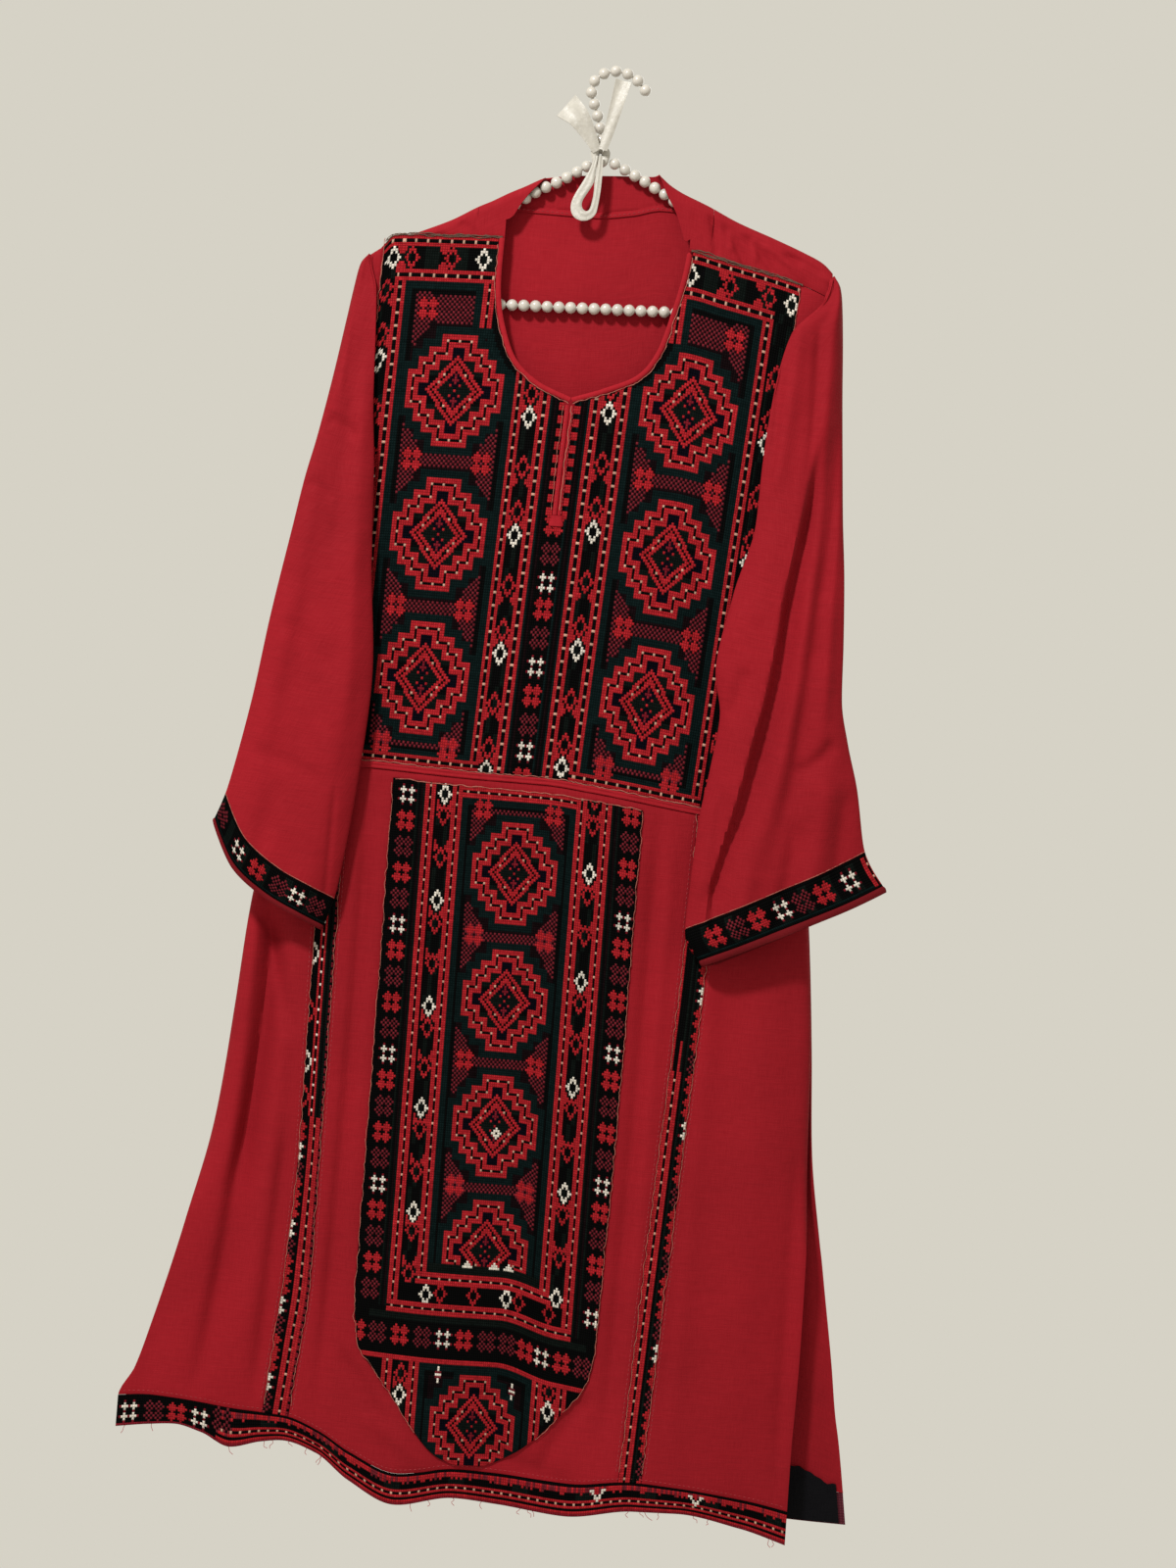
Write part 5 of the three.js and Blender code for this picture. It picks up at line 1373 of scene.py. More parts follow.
def hem_chart(width, seed=5, front=False):
    """The hem, 12 stitches deep: a worn edge, a dark band and a track."""
    chart = Chart(12, width)
    random = np.random.default_rng(seed)
    for column in range(width):
        low = 3 + random.integers(0, 3) // 2
        chart.block(1, low, column, column + 1, (RED, RED, PINK)[random.integers(0, 3)])
        if column // 7 % 4 == 1:
            chart.block(low, 6, column, column + 1, LEAF)
    chart.lines_across(6, (RED, BLACK, RED, BLACK, RED, DIM), 0, width)
    for column in range(2, width, 4):
        chart.block(7, 8, column, column + 1, DOT)
    if front:
        chart.block(0, 11, 0, 44, BLACK)
        for column, thread in ((5, WHITE), (16, DIM), (26, RED), (36, WHITE), (46, DIM)):
            chart.stamp(6 if column < 40 else 4, column, rosette(thread))
        for column in (212, 255):
            chart.stamp(4, column, diamond(WHITE)[4:])
    return chart


class KURTA_OT_pocket(bpy.types.Operator):
    """Build the long embroidered panel that is laid on the skirt"""
    bl_idname = "kurta.pocket"
    bl_label = "Pocket panel"

    def execute(self, context):
        chart = pocket_chart()
        height, width = chart.cells.shape
        column, row = np.meshgrid(np.arange(width + 1.0), np.arange(height + 1.0))
        x = POCKET_LEFT + column * POCKET_STITCH
        z = pocket_z(x, row)
        x = x - 0.8 * smooth(-700, -1000, z) * (column - 60) / 60
        z = np.maximum(z, POCKET_TIP)
        x = np.clip(x, pocket_left(z), pocket_right(z))
        outer = on_front(x, z, UNDER_POCKET + WORKED - 0.5 * edge_wear(x, z))
        mesh = cloth_wall("pocket_panel", outer, on_front(x, z, UNDER_POCKET), **by_chart(chart, 2))
        piece = add_piece(mesh, worked_cloth())
        return {"FINISHED"}


def edge_wear(x, z):
    reach = np.minimum(x - pocket_left(z), pocket_right(z) - x)
    return np.exp(-(reach / 1.6) ** 2)


# Sleeves

SLEEVE_COLUMNS = ("at seamX seamY seamZ inX inY inZ outX outY outZ front behind endX endY endZ sag")
left_sleeve = rows(
    SLEEVE_COLUMNS,
    (0, -190.4, -7.8, -167.5, -190.6, -8.4, -166, -192.2, 0, -163.2, -7.2, 7.2, -190.4, 7.8, -167.5, 0),
    (0.025, -189, -8.6, -178, -188, -10.4, -176.5, -198.6, 0, -171, -9.6, 8, -190, 8.8, -179, 0),
    (0.06, -187, -9.6, -190, -184, -12.6, -190, -202.5, 0, -190, -11.6, 8, -189, 9.6, -192, 0),
    (0.13, -186, -11, -221, -181.5, -15, -222, -206.5, -4, -218, -15, 7, -188, 10.4, -224, 0),
    (0.24, -188, -13.2, -280, -178.5, -17.5, -284, -214, -12, -270, -21, 2, -190, 11.4, -282, 0.1),
    (0.34, -186, -14.6, -328, -173.5, -20, -340, -222, -20, -318, -27, -6, -193, 8, -330, 0.2),
    (0.41, -179, -17, -366, -171.5, -22.5, -376, -229, -24, -352, -31, -16, -191, -13.5, -362, 0.3),
    (0.5, -176, -18.6, -412, -169, -25, -420, -235.5, -27, -392, -34, -18.6, -176.8, -18.2, -412, 0.4),
    (0.68, -170, -19.6, -508, -161.5, -27, -512, -248, -30, -468, -38, -20, -170.8, -19.6, -508, 0.6),
    (0.82, -174, -19.6, -590, -166.5, -27, -594, -257.5, -30, -535, -39, -20.5, -174.8, -19.6, -590, 0.8),
    (1, -187, -20, -690, -178.5, -27, -692, -273, -30, -613, -38, -21, -187.8, -20, -690, 1),
    (1.25, -195, -21, -715, -187, -27, -718, -281.5, -30, -637, -38, -22, -195.8, -21, -715, 1))
right_sleeve = rows(
    SLEEVE_COLUMNS,
    (0, 187.4, -7.8, -157, 187, -8.6, -155.5, 189.6, 0, -152.4, -7.2, 7.2, 187.4, 7.8, -157, 0),
    (0.022, 188.4, -9, -166, 185.6, -11.4, -164.5, 195.2, 0, -161, -9.6, 8, 188.8, 8.8, -167, 0),
    (0.05, 188, -10.6, -176, 182, -15, -175, 197.5, -1, -172, -14, 8, 189.4, 9.4, -178, 0),
    (0.12, 184.5, -11, -206, 157, -19, -205, 200.5, -4, -204, -22, 8, 187.6, 10, -208, 0),
    (0.22, 181, -13.8, -258, 146.5, -23, -255, 203.5, -8, -252, -27, 6, 184.8, 10.8, -262, 0),
    (0.33, 180, -15.6, -318, 141.5, -25.5, -314, 207.5, -14, -308, -32, 0, 185, 9.6, -322, 0),
    (0.4, 172, -18, -362, 140, -27, -360, 210.5, -20, -350, -35, -12, 185, -14, -358, 0.05),
    (0.5, 142, -20.5, -418, 126, -28, -420, 215.2, -26, -402, -38, -20.5, 142.8, -20.5, -418, 0.1),
    (0.61, 127, -21.5, -480, 116.2, -29, -482, 218.4, -29, -455, -40, -21.5, 127.8, -21.5, -480, 0.1),
    (0.69, 135, -21.5, -518, 122.5, -29, -520, 220.5, -30, -500, -41, -21.5, 136.8, -21.5, -518, 0.1),
    (0.77, 129, -21.5, -560, 118, -29, -562, 227.5, -30.5, -533, -41.5, -21.7, 129.8, -21.5, -560, 0.1),
    (0.86, 123, -21.5, -608, 111.5, -29, -610, 238, -31, -570, -42, -22, 123.8, -21.5, -608, 0.1),
    (1, 119, -22, -693, 107.5, -29, -695, 248.5, -31, -621, -42, -23, 119.8, -22, -693, 0.1),
    (1.25, 134, -23, -722, 124, -29, -724, 268.5, -31, -652, -42, -24, 134.8, -23, -722, 0.1))

# from x, z to x, z, then bow, width, height, lean
SLEEVE_CREASES = {
    "left": [
        (-206, -285, -240, -610, 4, 12, -3.0, 0.2), (-191, -230, -198, -430, -3, 7, -1.8, 0),
        (-214, -302, -188, -318, 2, 4, -3.0, 0.3), (-228, -354, -204, -368, 2, 4, -2.2, 0),
        (-256, -575, -190, -602, 4, 5, -1.8, 0), (-240, -470, -194, -508, 4, 8, -1.4, 0),
        (-184, -380, -180, -560, 2, 7, 1.6, 0), (-222, -440, -254, -610, -3, 12, 1.6, 0),
        (-184, -600, -186, -700, 0, 2.2, -1.6, 0), (-232, -600, -246, -670, 0, 9, -1.6, 0),
        (-199, -180, -203, -290, 1, 4, -1.2, 0), (-258, -540, -268, -620, 0, 6, -1.4, 0),
    ],
    "right": [
        (180, -190, 176, -380, 3, 6, -3.4, 0.2), (196, -250, 178, -620, 8, 8, -4.6, 0.3),
        (206, -250, 196, -430, 2, 6, -2.8, 0), (186, -400, 160, -640, 6, 7, 3.0, 0),
        (209, -330, 208, -530, -2, 5, 2.4, 0), (217, -533, 186, -562, 3, 6, -3.6, 0.2),
        (214, -560, 200, -670, 4, 9, 3.2, 0), (232, -570, 226, -660, -2, 8, -3.2, 0.2),
        (162, -180, 152, -340, 3, 7, 2.6, 0), (150, -230, 146, -340, 2, 4, -2.0, 0),
        (166, -162, 188, -172, 2, 4, -2.4, 0), (160, -174, 186, -190, 2, 4, 2.0, 0),
        (140, -480, 128, -522, 2, 6, -2.4, 0), (190, -600, 176, -700, 4, 8, -4.2, 0.2),
        (130, -580, 116, -690, 3, 5, -3.4, 0), (156, -640, 146, -710, 2, 7, 2.6, 0),
    ],
}
overlap = profile(
    (-270, 185), (-300, 181), (-340, 175.5), (-380, 169.5), (-420, 163.5),
    (-460, 160), (-500, 155), (-540, 147), (-580, 139.5), (-620, 130), (-660, 121))


def sleeve_section(table, at):
    """Points round a sleeve: at any share of its length, eleven guide points."""
    row = {name: through(table, "at", name)(at) for name in table if name != "at"}

    def guide(name):
        return np.stack([row[name + axis] for axis in "XYZ"], -1)
    seam, fold, outer, end = guide("seam"), guide("in"), guide("out"), guide("end")
    drop = (row["outZ"] - row["inZ"]) * row["sag"]

    def on_layer(a, b, level, hold, *places):
        made = []
        for t, share in places:
            place = blend(a, b, t)
            y = blend(place[..., 1], row[level], hold)
            made.append(np.stack([place[..., 0], y, place[..., 2] - drop * share], -1))
        return made
    near = blend(seam, fold, 0.5)
    near[..., 1] = blend(seam[..., 1], fold[..., 1], 0.2)
    in_front = on_layer(fold, outer, "front", 1, (0.2, 0.09), (0.5, 0.22), (0.8, 0.24))
    behind = on_layer(outer, end, "behind", 0.8, (0.25, 0.24), (0.55, 0.18), (0.8, 0.09))
    return np.stack([seam, near, fold, *in_front, outer, *behind, end], -2)


def sleeve_skin(side, at, stations):
    table = left_sleeve if side == "left" else right_sleeve
    points = curve_through(sleeve_section(table, at), stations)
    x, y, z = points[..., 0], points[..., 1], points[..., 2]
    in_front = smooth(1.7, 2.7, stations) * (1 - smooth(5.2, 6.1, stations))
    at_ends = smooth(0.0, 0.10, at)[:, None]
    lift = creases(SLEEVE_CREASES[side], x, z) + 0.8 * rumple(x, z, 46, 31)
    shift = 0 * x
    if side == "right":
        d = x - overlap(z)
        taper = (1 - smooth(-350, -270, z)) * smooth(-720, -650, z)
        over = 4.5 * np.exp(np.minimum(d, 0) / 14) * (d <= 0)
        over = over + (d > 0) * (4.5 - 13 * smooth(0, 8, d)) * np.exp(-(np.maximum(d - 8, 0) / 12) ** 2)
        lift = lift + over * taper
        shift = 1.6 * np.exp(-(d / 4) ** 2) * taper
    behind = smooth(6.4, 7.4, stations) * (1 - smooth(9, 9.8, stations))
    y = y - at_ends * in_front * lift + at_ends * behind * 0.96 * rumple(x, z, 60, 37)
    points = np.stack([x + shift * in_front * at_ends, y, z], -1)
    return points if side == "right" else points[:, ::-1]


def even_stations(side, at, stitch):
    """Stations round a sleeve at equal distances over the cloth."""
    dense = np.linspace(0, 10, 1001)
    ring = sleeve_skin(side, np.array([at]), dense)[0]
    ring = ring if side == "right" else ring[::-1]
    run = np.concatenate([[0], np.cumsum(np.linalg.norm(np.diff(ring, axis=0), axis=1))])
    return np.interp(np.linspace(0, run[-1], int(run[-1] / stitch) + 1), run, dense)


def cuff_chart(side, middle, in_front):
    """The worked cuff: a dark band with rosettes, and a border with a thin line."""
    chart = Chart(14, len(middle))
    line = np.arange(len(middle))
    chart.cells[1:13, (line // 4) % 3 == 1] = LEAF
    order = {
        "left": ((-274, DIM), (-259, WHITE), (-242, RED), (-224, DIM), (-208, WHITE), (-192, DIM)),
        "right": ((132.6, RED), (150, DIM), (167, RED), (185, WHITE), (202, DIM), (218, RED), (238, WHITE)),
    }[side]
    for place, thread in order:
        column = line[in_front][np.argmin(np.abs(middle[in_front] - place))]
        chart.stamp(6.0, column, rosette(thread))
    for k, column in enumerate(line[~in_front][4:-4:9]):
        chart.stamp(6.0, column, rosette((RED, WHITE, DIM)[k % 3]))
    chart.block(12, 13, 0, len(middle), GREEN)
    if side == "right":
        chart.track_down(line[in_front][np.argmin(np.abs(middle[in_front] - 255))] - 2, 1, 13, 2)
    return chart


def sleeve_wall(side):
    """A sleeve from the armhole to its cuff, closed along the seam under the arm."""
    around = np.unique(runs((0, 2, 10), (2, 6, 58), (6, 10, 26)))
    outer = sleeve_skin(side, spread(560, 4.4, (1.5, 3.5)), around)
    run = np.linalg.norm(np.gradient(outer, axis=1), axis=-1).cumsum(1)
    down = np.linalg.norm(np.gradient(outer, axis=0), axis=-1).cumsum(0)
    return cloth_wall(f"sleeve_{side}", outer, inner_skin(outer, CLOTH), cloth_grid(run, -down))


def cuff_wall(side, stations):
    """The worked cuff, which goes on where the sleeve ends."""
    outer = sleeve_skin(side, np.linspace(1, CUFF_END, 15), stations)
    middle = (outer[7, :-1, 0] + outer[7, 1:, 0]) / 2
    spot = (stations[:-1] + stations[1:]) / 2
    spot = spot if side == "right" else spot[::-1]
    chart = cuff_chart(side, middle, (spot > 2) & (spot < 6))
    return cloth_wall(f"cuff_{side}", outer, inner_skin(outer, CLOTH), **by_chart(chart, 3))


def piping_wall(side, stations):
    """The rounded piping along the cuff's lower edge."""
    outer = sleeve_skin(side, np.linspace(CUFF_END, 1.25, 6), stations)
    swell = np.array([-0.1, 0.5, 0.8, 0.8, 0.5, -0.1])[:, None, None]
    normal = outer - inner_skin(outer, 1.0)
    return cloth_wall(f"cuff_piping_{side}", outer + normal * swell, outer - normal * CLOTH)


class KURTA_OT_sleeves(bpy.types.Operator):
    """Build the sleeves, their embroidered cuffs and the pipings of the cuffs"""
    bl_idname = "kurta.sleeves"
    bl_label = "Sleeves"

    def execute(self, context):
        dark = [v * 0.45 for v in context.scene.kurta_colours.binding]
        for side, length, width, area, around_cuff, depth in (
                ("left", 0.56, 0.21, 0.0745, 0.21, 0.026), ("right", 0.58, 0.26, 0.095, 0.29, 0.035)):
            stations = even_stations(side, 1.1, 1.85)
            sleeve = add_piece(sleeve_wall(side), red_cloth(context))
            cuff = add_piece(cuff_wall(side, stations), worked_cloth())
            piping = add_piece(piping_wall(side, stations),
                               plain_cloth("Dark red piping", "red_binding", dark))
        return {"FINISHED"}


# Hanger and ribbon

# x and z along each part of the hanger, which lies in one plane
HANGER = {
    "hanger_hook": [(26, -16), (21.5, -9.5), (14, -2.5), (4.4, 1.5), (-6, 1.5), (-15, -3),
        (-20.5, -11), (-19.8, -20.5), (-16, -30), (-13, -40), (-10.6, -50), (-9.4, -60.2)],
    "hanger_arm_left": [(-15.7, -75), (-38.8, -90), (-57, -99.9), (-70, -108.9), (-96, -125),
        (-127, -140), (-152, -150), (-170, -159), (-180.5, -172), (-182, -187)],
    "hanger_arm_right": [(-1.4, -71.8), (11, -77.8), (29.4, -86.9), (45.6, -95.6), (60, -104.3),
        (82, -115), (107, -127), (139, -139.8), (158, -148), (169, -160), (171.5, -177)],
    "hanger_bar": [(-182, -190.2), (-150, -197.6), (-75, -195.8), (50, -192), (140, -189.5),
        (171.5, -180)],
}


def ball(centre, radius, along):
    """A bead threaded along a line, with a small dimple at each hole."""
    turn = np.linspace(0, math.pi, 10)
    along = np.repeat(unit(along)[None], len(turn), 0)
    place = centre + (np.cos(turn) * radius * 0.97)[:, None] * along
    points, (walls, caps) = tube(place, along, np.maximum(np.sin(turn) * radius, HOLE), 16)
    return points, [np.roll(walls[:, ::-1], 1, 1), caps[:, ::-1]]


class KURTA_OT_hanger(bpy.types.Operator):
    """Thread the pearl beads of the hanger on their wire"""
    bl_idname = "kurta.hanger"
    bl_label = "Beaded hanger"

    def execute(self, context):
        sizes = context.scene.kurta_sizes
        radius, pitch = sizes.bead / MM, sizes.pitch / MM
        look = pearl(context.scene.kurta_colours.beads)
        random = np.random.default_rng(12)
        for name, line in HANGER.items():
            points = [(x, 0, z) for x, z in line]
            length = along_curve(points, count=50)[2]
            beads = int(round(length / pitch))
            place, ahead = along_curve(points, count=2 * beads + 1)[:2]
            parts = [tube(place, ahead, WIRE)]
            for centre, along in zip(place[1::2], ahead[1::2]):
                parts.append(ball(centre, radius * random.uniform(0.965, 1.0), along))
            add_piece(make_mesh(name, *join(parts), sharp=80), look)
        return {"FINISHED"}


def bezier(*points, count=16):
    t = np.linspace(0, 1, count)[:, None]
    a, b, c, d = (np.array(p, float) for p in points)
    return a * (1 - t) ** 3 + 3 * b * t * (1 - t) ** 2 + 3 * c * t * t * (1 - t) + d * t ** 3


def ribbon_loop(look):
    """The flat loop that hangs from the knot, creased along its length."""
    outside = np.concatenate([
        bezier((-14, -70), (-18, -92), (-33, -104), (-30, -116)),
        bezier((-30, -116), (-28, -126), (-13, -127), (-9, -116))[1:],
        bezier((-9, -116), (-7, -104), (-6, -90), (-7, -70))[1:]])
    inside = np.concatenate([
        np.linspace((-10.9, -70), (-12.9, -92), 7),
        bezier((-13, -92), (-16, -100), (-24, -108), (-21, -113), count=10)[1:],
        bezier((-21, -113), (-19, -117), (-15, -117), (-14, -111), count=14)[1:],
        bezier((-14, -111), (-12.5, -104), (-12.2, -98), (-12.6, -92), count=10)[1:],
        np.linspace((-12.5, -92), (-10.5, -70), 7)[1:]])
    share, across = np.linspace(0, 1, len(outside))[:, None], np.linspace(0, 1, 9)
    own = np.linspace(0, 1, len(inside))
    inside = np.concatenate([np.interp(share, own, inside[:, k]) for k in (0, 1)], 1)
    x, z = (blend(outside[:, k:k + 1], inside[:, k:k + 1], across) for k in (0, 1))
    crease = 0.9 * np.sin(math.pi * across) + 0.35 * np.sin(3 * math.pi * across + 2 * share)
    return add_piece(cloth_wall("ribbon_loop", point(x, -9.7 - crease, z), point(x, -8.5, z),
                                cloth_grid(9 * across, 120 * share)), look)


def ribbon_tail(name, line, root, end, look):
    """A tail that widens from its root to its end. It returns the piece and its length."""
    place, ahead, length = along_curve(line, count=22)
    share, across = np.linspace(0, 1, 22)[:, None], np.linspace(-1, 1, 9)
    half = blend(root, end, share) / 2
    points = place[:, None] + unit(np.cross(ahead, BACKWARDS))[:, None] * (half * across)[..., None]
    points[..., 1] -= 0.9 * np.cos(across * 2.6 + share * 3) * (0.4 + share)
    return add_piece(cloth_wall(name, points, inner_skin(points, 0.6),
                                cloth_grid(half * across, share * length)), look), length


def ribbon_knot(look):
    """Three turns round the place where the wire and both arms meet."""
    turn = np.linspace(0, 2 * math.pi, 33)
    parts = []
    for tilt, depth, radius, thick in ((0.25, -3.4, 5.0, 3.0), (-0.35, 1.8, 4.8, 2.9), (1.2, -0.4, 4.4, 3.2)):
        ring = point(radius * np.cos(turn), depth + 1.8 * np.sin(turn + tilt * 4),
                     1.5 * radius * np.sin(turn) * (1 - 0.2 * abs(tilt))) + KNOT
        thickness = thick * (1 + 0.12 * np.sin(5 * turn))
        parts.append(tube(ring, unit(np.gradient(ring, axis=0)), thickness, 10))
    add_piece(make_mesh("ribbon_knot", *join(parts), sharp=70), look)


class KURTA_OT_ribbon(bpy.types.Operator):
    """Tie the satin ribbon: its knot, its two tails and the loop that hangs down"""
    bl_idname = "kurta.ribbon"
    bl_label = "Ribbon"

    def execute(self, context):
        look = satin(context.scene.kurta_colours.ribbon)
        sheets = [(ribbon_loop(look), (0.01, 0.13), 0.7)]
        for side, line, root, end in (
                ("left", [(-12.5, -8.8, -66), (-21, -12, -52), (-30, -15, -40), (-40.5, -13, -31.5)], 7, 23),
                ("right", [(-7.6, -10.2, -65), (-3, -12, -46), (1, -15, -28), (5, -14, -8)], 7, 13)):
            tail, length = ribbon_tail(f"ribbon_tail_{side}", line, root, end, look)
            sheets.append((tail, (end * MM, length * MM), (root + end) / 2 / end))
        ribbon_knot(look)
        for piece, flat, part in sheets:
            part * flat[0] * flat[1]
        return {"FINISHED"}


# Loose threads and stitches

def frayed_line(x, z, lift, seed, radius):
    """A wavering thread lying on the front, along a line of x and z."""
    place, ahead, _ = along_curve(point(x, 0.0, z), step=2.0)
    random = np.random.default_rng(seed)
    wander = random.normal(0, 0.75, len(place) + 4)
    wander = np.convolve(wander, np.ones(3) / 3, "valid")[:len(place)]
    place = place + np.cross(ahead, BACKWARDS) * wander[:, None]
    thick = 0.72 * radius * random.uniform(0.5, 1.3, len(place))
    return tube(on_front(place[:, 0], place[:, 2], lift), ahead, thick, 5)


def stitch_line(points, radius=0.28, stitch=2.6, gap=1.3):
    """Short stitches along a line of points that already lie on the cloth."""
    length = along_curve(points, count=4)[2]
    count = max(int(length / (stitch + gap)), 1)
    place, ahead = along_curve(points, count=3 * count)[:2]
    parts = []
    for k in range(count):
        middle, line = place[3 * k + 1], ahead[3 * k + 1]
        ends = np.array([middle - line * stitch / 2, middle, middle + line * stitch / 2])
        ends[[0, 2], 1] += 0.35
        parts.append(tube(ends, np.repeat(line[None], 3, 0), (0.1, radius, 0.1), 4))
    return parts


def frayed_down(edge, start, end, count, *thread):
    z = np.linspace(start, end, count)
    return frayed_line(edge(z), z, *thread)


def frayed_across(edge, start, end, count, *thread):
    x = np.linspace(start, end, count)
    return frayed_line(x, edge(x), *thread)


def frayed_edges():
    """Threads along the cut edges of the worked pieces. Each has the line it follows, its
    ends and points, its height over the layer, the seed of its waver and its radius."""
    edges = [frayed_down(lambda z: yoke_x(-162.7, z), -150, -576, 60, ON_WORKED, 1, 0.5),
             frayed_down(lambda z: yoke_x(168.4, z), -166, -590, 60, ON_WORKED, 2, 0.4)]
    for start, end, seed in ((-188, -20, 3), (-20, 137, 4)):
        edges.append(frayed_across(lambda x: yoke_bottom(x) - 0.1, start, end, 50, ON_WORKED, seed, 0.5))
    for points in (neck_left, neck_right):
        line = offset_line(neck_line(points, 60), NECK_BINDING + 0.2)
        line = line[line[:, 1] < -146]
        edges.append(frayed_line(line[:, 0], line[:, 1], ON_WORKED + 0.35, 5, 0.42))
    for aside, lift, seed, radius in ((1.2, WORKED + 1.5, 6, 0.5), (-5.4, WORKED + 0.6, 7, 0.35)):
        edges.append(frayed_down(lambda z: slit_middle(z) + aside, -276, -362, 30, lift, seed, radius))
    for edge, top, seed in ((pocket_left, -594, 8), (pocket_right, -602, 9)):
        edges.append(frayed_down(edge, top, -1120, 70, ON_POCKET - 0.6, seed, 0.36))
    edges.append(frayed_across(lambda x: pocket_z(x, 0.2), -137, 65, 50, ON_POCKET, 10, 0.5))
    for seed, name in enumerate(("left_outer", "left_inner", "right_outer", "right_inner"), 11):
        foot = -1108 if "left" in name else -1140
        edges.append(frayed_down(strip_edge[name], -600, foot, 70, ON_WORKED, seed, 0.34))
    for side in ("left", "right"):
        line = sleeve_skin(side, np.array([0.994, 0.997]), np.linspace(2.1, 5.9, 110))[1]
        thick = 0.26 * np.random.default_rng(2).uniform(0.3, 1.4, 110)
        edges.append(tube(line - (0, 0.4, 0), unit(np.gradient(line, axis=0)), thick, 5))
    return edges


def frayed_tops():
    """The darker threads along the top of the yoke, three deep at each shoulder."""
    return [frayed_across(lambda x: yoke_top(x) - 0.2 + 0.9 * k, start, end, 40,
                          ON_WORKED - 0.4 * k, seed + k, 0.6)
            for start, end, seed in ((-179, -84, 15), (71, 164, 16)) for k in range(3)]


def seam_stitches():
    x = np.linspace(-94, 78, 40)
    seams = stitch_line(over_shoulder(x, -reach_to(x, band_seam_behind(x) + 2.0), CLOTH + 1.5))
    x = np.linspace(-320, 224, 60)
    seams += stitch_line(on_front(x, hem_top(x) + 3.4, ON_CLOTH))
    for name, offset, foot in (("left_outer", -2.6, -1104), ("left_inner", 2.6, -1112),
                               ("right_inner", -2.6, -1140), ("right_outer", 2.6, -1140)):
        z = np.linspace(-606, foot, 60)
        seams += stitch_line(on_front(strip_edge[name](z) + offset, z, ON_CLOTH))
    z = np.linspace(-278, SLIT_BOTTOM + 1, 20)
    for aside in (-3.0, 3.0):
        seams += stitch_line(on_front(slit_middle(z) + aside, z, WORKED + 1.25), 0.24, 2.0, 1.1)
    return seams


def loose_ends():
    """Short ends that hang from the hem."""
    random = np.random.default_rng(7)
    ends = []
    for x in random.uniform(-318, 220, 24):
        reach = random.uniform(1.5, 5, 3).cumsum() * 0.6
        drift = random.uniform(-3, 3, 3).cumsum()
        foot = on_front(x, hem_bottom(x), 0.8)
        line = [foot + (0, 0, 1.5)] + [foot + (d, 0, -r) for d, r in zip(drift, reach)]
        place, ahead, _ = along_curve(line, count=9)
        ends.append(tube(place, ahead, 0.22, 4))
    return ends


class KURTA_OT_threads(bpy.types.Operator):
    """Lay the frayed threads along the worked pieces and the stitches of the seams"""
    bl_idname = "kurta.threads"
    bl_label = "Threads and stitches"

    def execute(self, context):
        frayed = context.scene.kurta_colours.frayed
        pale = loose_thread("Pale frayed thread", "embroidered_cloth", [v * 0.7 for v in frayed],
                            [min(v * 1.3, 1) for v in frayed])
        dark = loose_thread("Dark frayed thread", "embroidered_cloth", linear((40, 24, 16)),
                            linear((96, 66, 44)))
        red = loose_thread("Red sewing thread", "red_cloth", linear((120, 20, 30)),
                           linear((176, 40, 50)))
        for name, threads, look in (("frayed_edges", frayed_edges(), pale),
                                    ("frayed_tops", frayed_tops(), dark),
                                    ("seam_stitches", seam_stitches() + loose_ends(), red)):
            add_piece(make_mesh(name, *join(threads)), look, in_cad=False)
        return {"FINISHED"}


# The room

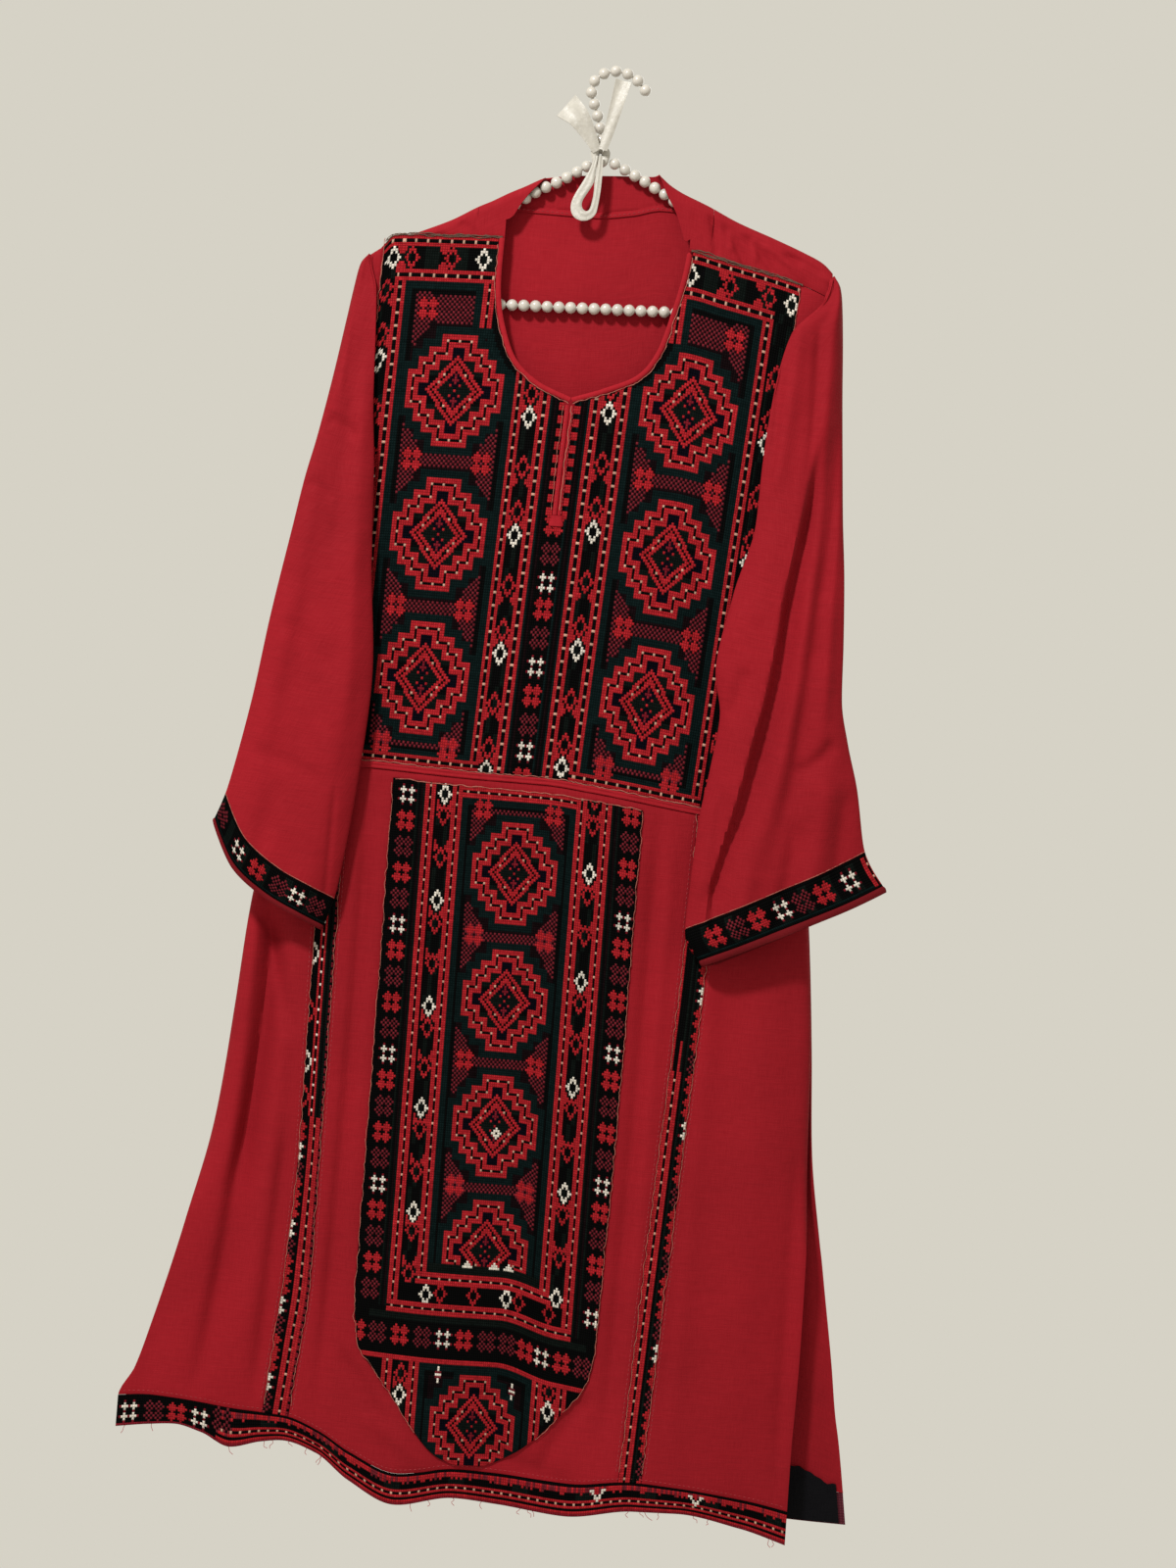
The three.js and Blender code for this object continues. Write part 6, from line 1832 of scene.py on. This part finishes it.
class KURTA_OT_stage(bpy.types.Operator):
    """Set the floor, the lights, the pale room and the camera"""
    bl_idname = "kurta.stage"
    bl_label = "Stage"

    def execute(self, context):
        look = context.scene.kurta_colours
        mesh = bpy.data.meshes.new("floor")
        corners = [(x, y, -1.62) for x, y in ((-1.6, -2.2), (1.6, -2.2), (1.6, 0.42), (-1.6, 0.42))]
        mesh.from_pydata(corners, [], [(0, 1, 2, 3)])
        floor = bpy.data.objects.new("floor", mesh)
        context.scene.collection.objects.link(floor)

        def build(s):
            grain = s.noise(s.node("TexCoord", output=3), 8.0, 3.0)
            return grain.mixed(rgba(look.floor, 0.97), rgba(look.floor, 1.03)), None, 0.001
        mesh.materials.append(finish("Pale floor", build, Roughness=0.8))
        world = bpy.data.worlds.new("room")
        world.use_nodes = True
        background = world.node_tree.nodes["Background"].inputs
        background["Color"].default_value = rgba(look.room)
        background["Strength"].default_value = 1.0
        context.scene.world = world
        lights = {
            "ceiling_light": ((-1.1, -1.9, 1.5), (0, 0, -0.5), 0.3, 97.0),
            "window_light": ((-1.6, -0.4, -0.5), (0, 0, -0.7), 0.6, 0.7),
            "back_light": ((0.6, 1.8, 0.4), (0, 0, -0.6), 1.4, 6.0),
        }
        for name, (place, target, size, power) in lights.items():
            light = bpy.data.lights.new(name, "AREA")
            light.energy, light.size = power, size
            lamp = bpy.data.objects.new(name, light)
            lamp.location = place
            lamp.rotation_euler = (Vector(target) - Vector(place)).to_track_quat("-Z", "Y").to_euler()
            context.scene.collection.objects.link(lamp)
        camera = bpy.data.cameras.new("camera")
        camera.lens, camera.sensor_width = 78, 36
        eye = bpy.data.objects.new("camera", camera)
        roll = math.radians(4.4)
        right = Vector((math.cos(roll), 0, math.sin(roll)))
        up = Vector((-math.sin(roll), 0, math.cos(roll)))
        turned = Matrix((right, up, right.cross(up))).transposed()
        eye.matrix_world = Matrix.Translation((0.020, -2.789, -0.583)) @ turned.to_4x4()
        context.scene.collection.objects.link(eye)
        context.scene.camera = eye
        context.scene.view_settings.view_transform = "Standard"
        return {"FINISHED"}


BUILDERS = (KURTA_OT_back, KURTA_OT_shoulders, KURTA_OT_sides, KURTA_OT_skirt, KURTA_OT_pocket, KURTA_OT_yoke,
            KURTA_OT_sleeves, KURTA_OT_hanger, KURTA_OT_ribbon, KURTA_OT_threads, KURTA_OT_stage)


class KURTA_PT_panel(bpy.types.Panel):
    """The kurta's sizes, colours and pieces"""
    bl_idname = "KURTA_PT_panel"
    bl_label = "Embroidered kurta"
    bl_space_type = "VIEW_3D"
    bl_region_type = "UI"
    bl_category = "Kurta"

    def draw(self, context):
        for group in (context.scene.kurta_sizes, context.scene.kurta_colours):
            box = self.layout.box()
            for name in group.__annotations__:
                box.prop(group, name)
        for builder in BUILDERS:
            self.layout.operator(builder.bl_idname)


CLASSES = (KurtaSizes, KurtaColours, *BUILDERS, KURTA_PT_panel)


def register():
    for cls in CLASSES:
        bpy.utils.register_class(cls)
    bpy.types.Scene.kurta_sizes = PointerProperty(type=KurtaSizes)
    bpy.types.Scene.kurta_colours = PointerProperty(type=KurtaColours)


def unregister():
    del bpy.types.Scene.kurta_colours, bpy.types.Scene.kurta_sizes
    for cls in reversed(CLASSES):
        bpy.utils.unregister_class(cls)


def main():
    register()
    for builder in BUILDERS:
        group, name = builder.bl_idname.split(".")
        getattr(getattr(bpy.ops, group), name)()


if __name__ == "__main__":
    main()
